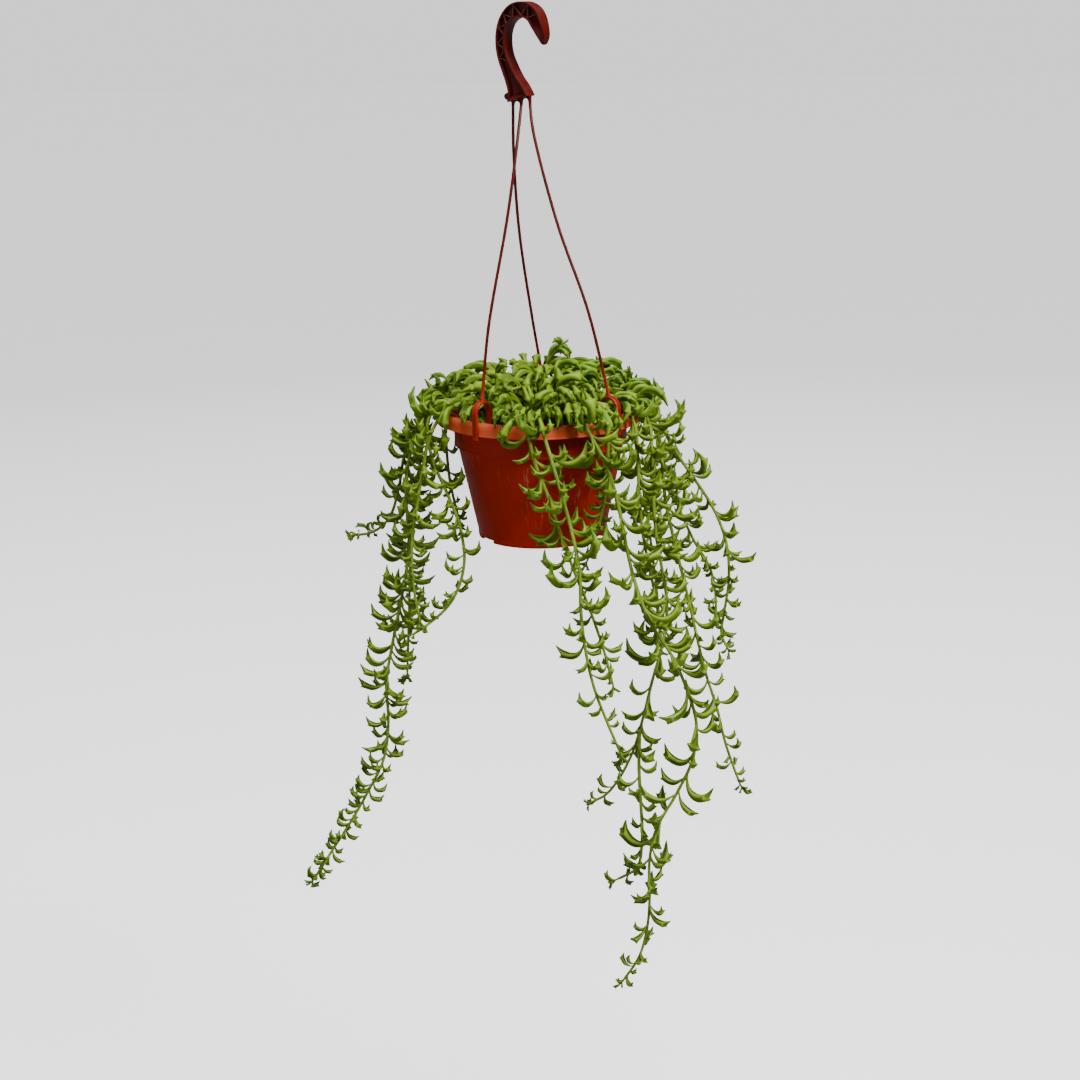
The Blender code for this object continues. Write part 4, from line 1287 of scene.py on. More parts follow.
    def _add_ribs(self, shape: MeshBuilder) -> None:
        """Add the thin ribs that run zigzag in both recesses, marked for the painted highlight that
        makes them pale.

        Args:
            shape: Mesh to add to.
        """
        left, right = self.outline(self.flange - self.rib_overlap)
        first, last = self.rib_margins[0], len(left) - self.rib_margins[1]
        corners = []
        for i in range(self.pockets + 2):
            station = round(first + (last - first) * i / (self.pockets + 1))
            corners.append((left if i % 2 else right)[station])
        for a, b in zip(corners, corners[1:]):
            across = Vector((a.z - b.z, 0.0, b.x - a.x)).normalized() * (self.rib / 2)
            for side in (-1, 1):
                rings = [self._ring(shape, [(p, side * out) for p in (
                    a - across, b - across, b + across, a + across)], worn=1.0)
                         for out in ((self.web - self.rib_overlap) / 2,
                                     self.thickness / 2 - self.rib_depth)]
                shape.add_rings(rings)

    def _legs_along(self) -> list[Leg]:
        """The legs in the order in which they leave the hook's foot."""
        return sorted(self.legs, key=lambda leg: leg.root)

    def _add_leg(self, shape: MeshBuilder, leg: Leg) -> None:
        """Add a leg that flares where it joins the hook's foot and its clip.

        Args:
            shape: Mesh to add to.
            leg: Which leg.
        """
        middle = (self.pot.rim_radius + self.clip_inner_radius) / 2
        below_foot, in_clip = self.leg_sunk
        clip_top = polar(middle, leg.bearing, self.clip_top - in_clip)
        way = smooth_path([self.point(leg.root, self.leg_top - below_foot), *leg.way, clip_top],
                          self.leg_curve_steps)
        path = even_path([self.point(leg.root, self.leg_top)] + way, self.leg_step)
        lengths = path_lengths(path)
        radii = []
        (*top, more_top), (*clip, more_clip) = self.top_flare, self.clip_flare
        for length in lengths:
            at_top = 1.0 - smoothstep(*top, length)
            at_clip = 1.0 - smoothstep(*clip, lengths[-1] - length)
            radii.append(self.leg_radius * (1.0 + more_top * at_top + more_clip * at_clip))
        shape.add_tube(path, radii, self.leg_sides, worn=0.0)

    def _add_arches(self, shape: MeshBuilder) -> None:
        """Add the round arches between neighbouring legs under the hook's foot.

        Args:
            shape: Mesh to add to.
        """
        places = [leg.root for leg in self._legs_along()]
        (first, low, _), (last, foot, _) = self.line[-2], self.line[-1]
        for a, b in zip(places, places[1:]):
            middle, radius = (a + b) / 2, (b - a) / 2
            slope = (last - first) / (low - foot)
            crown = foot + slope * (middle - last) + self.arch_rise
            path = [self.point(middle - radius * math.cos(turn),
                               crown - radius + radius * math.sin(turn))
                    for turn in half_turn(self.arch_steps)]
            shape.add_tube(path, [self.leg_radius * self.arch_share] * len(path),
                           self.arch_sides, worn=0.0)

    def _add_clip(self, shape: MeshBuilder, bearing: float) -> None:
        """Add a grooved strip that hooks over the rim, with a barb under the skirt.

        Args:
            shape: Mesh to add to.
            bearing: Where it sits on the rim.
        """
        radius, spring = self.clip_arch()
        outer = self.clip_inner_radius + 2 * radius
        line = [(outer, -self.pot.rim_skirt - self.clip_foot), (outer, spring)]
        line += [(outer - radius + radius * math.cos(turn), spring + radius * math.sin(turn))
                 for turn in half_turn(self.clip_turns)[1:-1]]
        line += [(self.clip_inner_radius, spring),
                 (self.clip_inner_radius, -self.clip_inner_depth)]
        path = even_path([polar(r, bearing, z) for r, z in line], self.clip_step)
        side = polar(1.0, bearing + 90.0)
        half, thick = self.clip_width / 2, self.clip_thickness / 2
        section = [(half * across, thick * up) for across, up in self.clip_section]
        rings = []
        for i, point in enumerate(path):
            out = course_at(path, i).cross(side)
            rings.append([shape.add_point(point + side * a - out * b, worn=0.0)
                          for a, b in section])
        shape.add_rings(rings)
        foot = -self.pot.rim_skirt - self.clip_gap
        ends = [[shape.add_point(polar(outer + r, bearing, foot + z) + side * across, worn=0.0)
                 for r, z in self.barb]
                for across in (-half + self.barb_inset, half - self.barb_inset)]
        shape.add_rings(ends)

    def _add_knob(self, shape: MeshBuilder) -> None:
        """Add the small catch that stands out of the hook's foot."""
        along, up = self.knob
        path = [self.point(along + r, up + self.knob_slope * r) for r, _ in self.knob_turning]
        shape.add_tube(path, [radius for _, radius in self.knob_turning], self.leg_sides,
                       worn=0.0)


# The plant's growth rule


@dataclass(frozen=True)
class Strand:
    """A trailing stem: where it leaves the soil, its leaves' size and spacing, and its way."""

    name: str
    root: Pair
    size: float
    spacing: float
    route: Route
    branch: Route = ()


STRANDS: tuple[Strand, ...] = (
    Strand("strand_left_inner", (-44, -10), 0.85, 0.95, (
        (-74, -10, 6), (-84, -22, -7), (-79, -34, -35), (-64, -44, -69), (-58, -52, -103),
        (-73, -58, -140), (-100, -62, -158))),
    Strand("strand_left_long", (-42, 0), 0.85, 0.64, (
        (-75, 2, 7), (-92, -2, -16), (-102, -8, -51), (-101, -20, -102), (-109, -30, -145),
        (-121, -38, -203), (-122, -42, -253), (-146, -46, -302), (-167, -50, -334),
        (-184, -52, -360))),
    Strand("strand_left_outer", (-45, 12), 0.75, 0.85, (
        (-73, 17, 6), (-86, 20, -6), (-101, 20, -28), (-109, 18, -62), (-118, 18, -88),
        (-131, 22, -100), (-148, 26, -104))),
    Strand("strand_left_front", (-40, -22), 0.82, 0.85, (
        (-69, -31, 6), (-80, -36, -10), (-90, -40, -52), (-97, -48, -94), (-96, -54, -127),
        (-92, -58, -150))),
    Strand("strand_left_back", (-42, 30), 0.85, 1.15, (
        (-63, 39, 6), (-73, 49, -8), (-74, 54, -35), (-71, 56, -77), (-64, 58, -108))),
    Strand("strand_left_behind", (-46, 21), 0.85, 1.2, (
        (-68, 28, 7), (-84, 38, -10), (-96, 44, -60), (-104, 46, -120), (-108, 44, -180),
        (-111, 41, -226))),
    Strand("strand_front_left", (-14, -46), 0.95, 1.2, (
        (-11, -71, 6), (-9, -81, -3), (-5, -85, -22), (5, -88, -49), (12, -92, -72),
        (24, -98, -106), (38, -104, -143), (49, -108, -186))),
    Strand("strand_front_middle", (-1, -45), 0.95, 1.1, (
        (-2, -71, 7), (3, -82, -3), (10, -92, -33), (17, -97, -54), (22, -104, -78),
        (26, -113, -102), (26, -118, -130), (34, -122, -179), (54, -124, -233))),
    Strand("strand_right_long", (19, -42), 1.05, 0.9, (
        (28, -70, 6), (36, -81, -6), (50, -86, -37), (61, -94, -91), (72, -98, -131),
        (96, -102, -174), (110, -100, -227), (102, -100, -257), (76, -100, -310),
        (75, -98, -350), (69, -96, -400), (53, -94, -429))),
    Strand("strand_right_front", (29, -36), 0.9, 0.95, (
        (42, -61, 6), (48, -72, -8), (47, -76, -32), (44, -78, -58), (36, -80, -84),
        (31, -80, -100))),
    Strand("strand_right_inner", (39, -24), 0.9, 0.95, (
        (61, -41, 6), (70, -51, -10), (70, -57, -36), (71, -61, -60), (74, -62, -90),
        (82, -60, -130), (86, -58, -167))),
    Strand("strand_right_middle", (42, -13), 0.95, 0.88, (
        (69, -27, 7), (80, -36, -8), (81, -50, -41), (82, -62, -77), (87, -68, -112),
        (90, -70, -146), (76, -74, -203), (69, -76, -231), (60, -74, -258), (44, -72, -283),
        (31, -72, -290)), (
        (69, -76, -231), (68, -84, -250), (68, -87, -272), (70, -87, -305), (66, -86, -337),
        (49, -85, -348))),
    Strand("strand_right_outer", (44, -2), 0.9, 0.95, (
        (73, -7, 6), (85, -14, -10), (90, -22, -40), (92, -28, -67), (97, -30, -92),
        (111, -36, -153), (120, -38, -195), (130, -40, -228), (138, -40, -262),
        (149, -40, -293))),
    Strand("strand_right_sweep", (44, 10), 0.9, 0.9, (
        (73, 13, 7), (87, 16, -10), (98, 14, -32), (116, 8, -59), (132, 2, -85),
        (142, -4, -118), (140, -8, -152), (136, -10, -178), (141, -12, -191))),
    Strand("strand_right_back", (42, 21), 0.9, 0.95, (
        (68, 32, 6), (83, 42, -12), (92, 48, -42), (103, 50, -79), (117, 48, -115),
        (129, 48, -135), (137, 46, -158), (136, 44, -187))),
    Strand("strand_right_behind", (36, 31), 0.9, 1.25, (
        (56, 49, 6), (67, 62, -10), (76, 72, -50), (85, 78, -110), (92, 78, -170),
        (96, 76, -222))),
    Strand("strand_back_right", (22, 41), 0.9, 1.25, (
        (33, 66, 6), (39, 77, -8), (39, 82, -40), (36, 84, -80), (33, 85, -114))),
    Strand("strand_back_middle", (-9, 46), 0.9, 1.25, (
        (-14, 73, 6), (-17, 84, -8), (-15, 88, -45), (-12, 90, -90), (-10, 92, -122))),
    Strand("strand_back_left", (-27, 40), 0.9, 1.25, (
        (-42, 60, 6), (-50, 71, -8), (-50, 77, -45), (-45, 81, -85), (-42, 83, -114))),
    Strand("shoot_upright", (-12, 20), 1.0, 0.8, ((-6, 19, 9), (4, 14, 28), (17, 8, 45))),
)


class Space:
    """Spheres that are already taken, sorted into cubes so that neighbours are found fast."""

    CUBE = 9.0
    CLEARANCE = 0.6

    def __init__(self) -> None:
        """Start with nothing taken."""
        self.cubes: dict[tuple[int, ...], list[tuple[Vector, float, str]]] = {}

    def add(self, centre: Vector, radius: float, owner: str) -> None:
        """Take a sphere for an owner."""
        key = tuple(int(c // self.CUBE) for c in centre)
        self.cubes.setdefault(key, []).append((centre, radius, owner))

    def add_path(self, path: Path, radius: float, owner: str) -> None:
        """Take a chain of spheres along a path for an owner."""
        for centre in beads(path):
            self.add(centre, radius, owner)

    def is_free(self, centre: Vector, radius: float, owner: str, own_share: float) -> bool:
        """Say whether a sphere keeps clear of others, and mostly of its owner's own.

        Args:
            centre: The sphere's centre.
            radius: Its radius.
            owner: Whose it is.
            own_share: How much of the sum of radii it keeps from its owner's own spheres.

        Returns:
            Whether it is free.
        """
        cx, cy, cz = (int(c // self.CUBE) for c in centre)
        for x in (cx - 1, cx, cx + 1):
            for y in (cy - 1, cy, cy + 1):
                for z in (cz - 1, cz, cz + 1):
                    for other, size, holder in self.cubes.get((x, y, z), ()):
                        reach = radius + size
                        if holder == owner:
                            reach *= own_share
                        else:
                            reach += self.CLEARANCE
                        if (other - centre).length_squared < reach * reach:
                            return False
        return True


class LeafCourse:
    """Where a sickle-shaped leaf lies: its spine, how it bends and the room it takes."""

    LENGTH, DEPTH, THICKNESS = 37.0, 7.6, 3.9
    STEPS = 24
    DEPTHS = ((0.0, 0.28), (0.20, 0.30), (0.34, 0.70), (0.52, 1.0), (0.64, 0.94), (0.80, 0.48),
              (1.0, 0.05))
    WIDTHS = ((0.0, 0.50), (0.20, 0.52), (0.34, 0.84), (0.52, 1.0), (0.64, 0.94), (0.80, 0.60),
              (1.0, 0.10))
    LEAST_SCALE = 0.6
    PROBES = (0.06, 0.13, 0.22, 0.31, 0.40, 0.48, 0.56, 0.64, 0.74, 0.87, 1.0)
    FIN_AT = 0.70
    FIN_REACH = 2.0
    FIN_DEPTH_AT = 0.62
    FIN_AHEAD = 0.8
    FIN_SPHERES = (0.7, 0.9)
    FIN_INWARD = 0.4

    def __init__(self, root: Vector, heading: Vector, inward: Vector, length: float,
                 turn: float) -> None:
        """Lay the leaf out from its root on the stem's middle line.

        Args:
            root: Where it starts.
            heading: Its way at the root.
            inward: The side that it bends to.
            length: Length along its spine.
            turn: How far it bends in all, in radians.
        """
        self.root = root
        self.length = length
        self.scale = length / self.LENGTH
        self.side = heading.cross(inward).normalized()
        self.inward = self.side.cross(heading).normalized()
        self.heading = heading.normalized()
        self.turn = turn
        self.points = [self.root]
        for i in range(self.STEPS):
            course, _ = self.frame((i + 0.5) / self.STEPS)
            self.points.append(self.points[-1] + course * (self.length / self.STEPS))

    def frame(self, t: float) -> tuple[Vector, Vector]:
        """Heading and inward direction at a share of the leaf's length."""
        angle = self.turn * (0.5 - 0.5 * math.cos(math.pi * t))
        course = self.heading * math.cos(angle) + self.inward * math.sin(angle)
        inward = self.inward * math.cos(angle) - self.heading * math.sin(angle)
        return course, inward

    def point(self, t: float) -> Vector:
        """Point of the spine at a share of the leaf's length."""
        place = t * self.STEPS
        i = min(int(place), self.STEPS - 1)
        return self.points[i].lerp(self.points[i + 1], place - i)

    def section(self, t: float) -> Pair:
        """Depth and thickness that the leaf's solid has at a share of its length."""
        size = max(self.scale, self.LEAST_SCALE)
        return (table_value(self.DEPTHS, t) * self.DEPTH * size,
                table_value(self.WIDTHS, t) * self.THICKNESS * size)

    def fins(self) -> list[Vector]:
        """Tips of the two fins, on the outer side of the bend."""
        course, inward = self.frame(self.FIN_AT)
        depth, thickness = self.section(self.FIN_DEPTH_AT)
        base = self.point(self.FIN_AT) - inward * (0.50 * depth) + course * self.FIN_AHEAD
        reach = thickness / 2 + self.FIN_REACH * self.scale
        return [base + self.side * reach, base - self.side * reach]

    def probes(self) -> list[tuple[Vector, float, float]]:
        """Spheres that hold the leaf, each with its share of the length."""
        spheres = [(self.point(t), max(self.section(t)) / 2, t) for t in self.PROBES]
        at_tip, at_root = self.FIN_SPHERES
        for tip in self.fins():
            inside = tip.lerp(self.point(0.5), self.FIN_INWARD)
            spheres += [(tip, at_tip, self.FIN_AT), (inside, at_root, self.FIN_AT)]
        return spheres


def outward_at(tangent: Vector, azimuth: float) -> Vector:
    """Direction square to a stem's way, at an angle round it."""
    return Matrix.Rotation(azimuth, 3, tangent) @ tangent.orthogonal().normalized()


def leaning(tangent: Vector, out: Vector, spread: float, bend: Vector) -> tuple[Vector, Vector]:
    """Heading of a leaf that leans out from its stem, and the side it bends to, square to it."""
    heading = tangent * math.cos(spread) + out * math.sin(spread)
    return heading, (bend - heading * bend.dot(heading)).normalized()


@dataclass
class GrownStem:
    """Leafy stem: its node, its paths, its leaves' size and spacing, and the leaves' places."""

    name: str
    paths: list[Path]
    size: float
    spacing: float
    leaves: list[tuple[LeafCourse, float]] = field(default_factory=list)


@dataclass(frozen=True)
class GrowthRule:
    """Seeded rule by which the stems and leaves find their places."""

    pot: Pot
    soil: Soil
    hanger: Hanger
    stem_radius: float = 1.5
    hole_depth: float = 12.0
    pot_clearance: float = 1.1
    rise: Pair = (3.0, 1.0)
    over_share: float = 0.45
    mouth_play: float = 1.0
    edge_play: float = 2.0
    leaf_pitch: float = 17.0
    mat_leaf_pitch: float = 9.6
    leaf_tries: int = 26
    first_leaf: float = 9.0
    first_branch_leaf: float = 12.0
    pitch_spread: Pair = (0.5, 1.5)
    hanging_spread: Pair = (14.0, 46.0)
    hanging_turn: Pair = (88.0, 165.0)
    hanging_lean: float = 0.5
    hanging_out: float = 0.6
    hanging_slope: float = 0.45
    mat_spread: Pair = (30.0, 65.0)
    mat_turn: Pair = (95.0, 135.0)
    mat_rise: Pair = (0.9, 0.15)
    mat_sway: float = 0.6
    own_share: float = 0.62
    own_from: float = 0.4
    spiral: float = 137.5
    azimuth_spread: float = 0.35
    length_spread: Pair = (0.86, 1.10)
    shrinking: float = 0.012
    least_pitch: float = 0.30
    tip_share: float = 0.40
    young_length: float = 190.0
    young_lengths: tuple[tuple[str, float], ...] = (("strand_left_long", 420.0),)
    shoot_young_length: float = 48.0
    shoot_count: int = 18
    shoot_tries: int = 400
    mat_floor: float = -8.0
    shoot_root_radius: float = 31.0
    shoot_reach: Pair = (48.0, 80.0)
    shoot_top: Pair = (6.0, 26.0)
    shoot_swing: float = 35.0
    shoot_bearing: float = 20.0
    shoot_first: float = 0.4
    shoot_middle: Pair = (0.45, 0.4)
    shoot_droop: float = 0.8
    shoot_end: Pair = (-4.0, 6.0)
    shoot_play: float = 0.3
    shoot_spacing: float = 0.98
    filler_size: float = 0.70
    filler_spacing: float = 0.90
    mat_filler_size: float = 0.88
    full_filler_size: float = 0.96
    full_strand: str = "strand_left_long"
    least_filler: float = 24.0
    filler_passes: int = 2
    sparse_below: float = -170.0
    seed: int = 1256

    def grow(self) -> list[GrownStem]:
        """Lay out every stem and leaf.

        Returns:
            The grown stems, one for each node.
        """
        space = Space()
        self._take_hanger(space)
        stems = []
        for strand in STRANDS:
            paths = [self._stem_path(strand.root, strand.route)]
            if strand.branch:
                paths.append(thin_path(smooth_path(strand.branch)))
            for path in paths:
                space.add_path(path, self.stem_radius, strand.name)
            stems.append(GrownStem(strand.name, paths, strand.size, strand.spacing))
        rng = random.Random(self.seed)
        for number in range(self.shoot_count):
            name = "shoot_%02d" % (number + 1)
            for _ in range(self.shoot_tries):
                path = self._shoot_path(rng, number)
                if self._path_is_free(path, space, name):
                    space.add_path(path, self.stem_radius, name)
                    stems.append(GrownStem(name, [path], 1.0, self.shoot_spacing))
                    break
        for number, stem in enumerate(stems):
            rng = random.Random(self.seed + 17 * number)
            for i in range(len(stem.paths)):
                stem.leaves += self._place_leaves(rng, space, stem, i)
        self._fill(space, stems)
        return stems

    def _fill(self, space: Space, stems: Sequence[GrownStem]) -> None:
        """Set small leaves between the others, where there is room left, fewer low down.

        Args:
            space: Room that is taken.
            stems: The stems with their leaves.
        """
        for turn, stem in enumerate([*stems] * self.filler_passes):
            rng = random.Random(self.seed + 17 * turn + 5)
            is_shoot = stem.name.startswith("shoot")
            share = self.mat_filler_size if is_shoot else self.filler_size
            if stem.name == self.full_strand:
                share = self.full_filler_size
            least = self.least_filler if is_shoot else 0.0
            is_full = turn < len(stems) or stem.name.startswith("strand_left")
            lowest = -math.inf if is_full else self.sparse_below
            for i in range(len(stem.paths)):
                small = self._place_leaves(rng, space, stem, i, share, self.filler_spacing)
                stem.leaves += [(leaf, youth) for leaf, youth in small
                                if leaf.length > least and leaf.root.z > lowest]

    def _stem_path(self, root: Sequence[float], route: Sequence[Sequence[float]]) -> Path:
        """Way of a stem: straight up from its hole, over, and on along its route.

        Args:
            root: Where it leaves the soil.
            route: Points that it passes.

        Returns:
            The path, with the foot of its hole first.
        """
        x, y = root
        ground = self.soil.height(x, y)
        start = Vector((x, y, ground + self.rise[0]))
        over = Vector(route[0])
        rise = start.lerp(over, self.over_share)
        rise.z = over.z + self.rise[1]
        hole_end = Vector((x, y, ground - self.hole_depth))
        return [hole_end] + thin_path(smooth_path([start, rise, *route]))

    def _clear_of_pot(self, point: Vector, radius: float) -> bool:
        """Say whether a sphere keeps clear of the pot and of the soil in it.

        Args:
            point: The sphere's centre.
            radius: Its radius.

        Returns:
            Whether it does.
        """
        pot = self.pot
        gap = radius + self.pot_clearance
        out = math.hypot(point.x, point.y)
        mouth = (pot.mouth_radius if point.z - gap > -self.mouth_play
                 else pot.collar_radius - pot.wall) - self.mouth_play
        if out + gap < mouth and point.z > -self.soil.edge_depth - self.edge_play:
            return point.z - gap > self.soil.height(point.x, point.y)
        if point.z - gap > 0.0 or out - gap > pot.rim_radius:
            return True
        return point.z + gap < -pot.rim_skirt and out - gap > pot.collar_radius

    def _shoot_path(self, rng: random.Random, number: int) -> Path:
        """A creeping shoot of the mat: up from the soil and out towards the rim.

        Args:
            rng: Seeded source of chance.
            number: The shoot's number, for its bearing.

        Returns:
            Its path.
        """
        bearing = self.spiral * number + rng.uniform(-self.shoot_bearing, self.shoot_bearing)
        share = (number + self.shoot_first) / self.shoot_count
        radius = self.shoot_root_radius * math.sqrt(share)
        root = polar(radius, bearing)
        swing = rng.uniform(-self.shoot_swing, self.shoot_swing)
        reach = rng.uniform(*self.shoot_reach)
        top = rng.uniform(*self.shoot_top)
        out, turned = self.shoot_middle
        middle = polar((radius + reach) * out, bearing + swing * turned, top)
        end_height = top * self.shoot_droop + rng.uniform(*self.shoot_end)
        end = polar(reach, bearing + swing, end_height)
        return self._stem_path((root.x, root.y), [middle, end])

    def _path_is_free(self, path: Path, space: Space, owner: str) -> bool:
        """Say whether a shoot's room is free of others and of the pot.

        Args:
            path: Its path.
            space: Room that is taken.
            owner: Its node.

        Returns:
            Whether it is.
        """
        radius = self.stem_radius + self.shoot_play
        for point in beads(path[1:]):
            if not space.is_free(point, radius, owner, 0.0):
                return False
            if point.z > self.mat_floor and not self._clear_of_pot(point, radius):
                return False
        return True

    def _is_hanging(self, tangent: Vector) -> bool:
        """Say whether a stem runs downwards rather than over the mat."""
        return tangent.z < -self.hanging_slope

    def _leaf_course(self, rng: random.Random, tangent: Vector, azimuth: float
                     ) -> tuple[Vector, Vector, float]:
        """Heading and bend of a leaf: hooked upwards on a hanging stem, arched over on a mat.

        Args:
            rng: Seeded source of chance.
            tangent: The stem's way.
            azimuth: Where round the stem the leaf stands.

        Returns:
            Its heading, the side it bends to and how far it bends.
        """
        out = outward_at(tangent, azimuth)
        if self._is_hanging(tangent):
            spread = math.radians(rng.uniform(*self.hanging_spread))
            lean = rng.uniform(-self.hanging_lean, self.hanging_lean)
            bend = Vector((0, 0, 1)) + out * self.hanging_out + tangent.cross(out) * lean
            turn = math.radians(rng.uniform(*self.hanging_turn))
        else:
            steep, lift = self.mat_rise
            out.z = abs(out.z) * steep + lift
            out.normalize()
            spread = math.radians(rng.uniform(*self.mat_spread))
            sway = self.mat_sway
            bend = Vector((rng.uniform(-sway, sway), rng.uniform(-sway, sway), -1.0))
            turn = math.radians(rng.uniform(*self.mat_turn))
        return *leaning(tangent, out, spread, bend), turn

    def _fits(self, leaf: LeafCourse, space: Space, owner: str) -> bool:
        """Say whether a leaf keeps clear of all that is there.

        Args:
            leaf: The leaf.
            space: Room that is taken.
            owner: Its stem's node.

        Returns:
            Whether it does.
        """
        for centre, radius, t in leaf.probes():
            if not self._clear_of_pot(centre, radius):
                return False
            own_share = self.own_share if t > self.own_from else 0.0
            if not space.is_free(centre, radius, owner, own_share):
                return False
        return True

    def _place_leaves(self, rng: random.Random, space: Space, stem: GrownStem, i: int,
                      size_share: float = 1.0, spacing_share: float = 1.0
                      ) -> list[tuple[LeafCourse, float]]:
        """Set leaves along a stem by a spiral rule, each where it finds room.

        Args:
            rng: Seeded source of chance.
            space: Room that is taken.
            stem: The stem.
            i: Which of its paths, the branch being the second.
            size_share: Size of the leaves, as a share of the stem's own.
            spacing_share: How far apart they are, as a share of the stem's own.

        Returns:
            Each leaf with its youth: 1 where it is full grown.
        """
        owner, path = stem.name, stem.paths[i]
        size, spacing = stem.size * size_share, stem.spacing * spacing_share
        lengths = path_lengths(path)
        total = lengths[-1]
        young = (self.shoot_young_length if owner.startswith("shoot")
                 else dict(self.young_lengths).get(owner, self.young_length))
        leaves = []
        azimuth = rng.uniform(0, math.tau)
        s = self.first_branch_leaf if i else self.hole_depth + self.first_leaf
        while s < total - 1.0:
            k = next(k for k in range(len(lengths) - 1) if lengths[k + 1] > s)
            a, b = path[k], path[k + 1]
            root = a.lerp(b, (s - lengths[k]) / (lengths[k + 1] - lengths[k]))
            tangent = (b - a).normalized()
            youth = min(1.0, self.tip_share + (total - s) / young)
            length = LeafCourse.LENGTH * size * youth * rng.uniform(*self.length_spread)
            for attempt in range(self.leaf_tries):
                off = rng.uniform(-self.azimuth_spread, self.azimuth_spread)
                turned = azimuth + off * (1 + attempt)
                heading, bend, turn = self._leaf_course(rng, tangent, turned)
                leaf = LeafCourse(root, heading, bend, length * (1.0 - self.shrinking * attempt),
                                  turn)
                if self._fits(leaf, space, owner):
                    for centre, radius, _ in leaf.probes():
                        space.add(centre, radius, owner)
                    leaves.append((leaf, youth))
                    break
            azimuth += math.radians(self.spiral)
            pitch = self.leaf_pitch if self._is_hanging(tangent) else self.mat_leaf_pitch
            s += (pitch * spacing * lerp(self.least_pitch, 1.0, youth)
                  * rng.uniform(*self.pitch_spread))
        return leaves

    def _take_hanger(self, space: Space) -> None:
        """Take the room of the hanger's legs and clips, which leaves keep clear of.

        Args:
            space: Room to take it in.
        """
        hanger, pot = self.hanger, self.pot
        radius, spring = hanger.clip_arch()
        middle = hanger.clip_inner_radius + radius
        size = hanger.clip_width / 2 + 0.2
        for leg in hanger.legs:
            bearing = leg.bearing
            space.add_path([Vector(leg.way[-1]), polar(middle, bearing, hanger.clip_top)],
                           hanger.leg_radius, "hanger")
            for out in (middle + radius, middle - radius):
                prong = [polar(out, bearing, -pot.rim_skirt), polar(out, bearing, spring)]
                space.add_path(prong, size, "hanger")
            arch = [polar(middle + radius * math.cos(turn), bearing,
                          spring + radius * math.sin(turn)) for turn in half_turn(4)]
            space.add_path(arch, size, "hanger")


# The plant's fine meshes


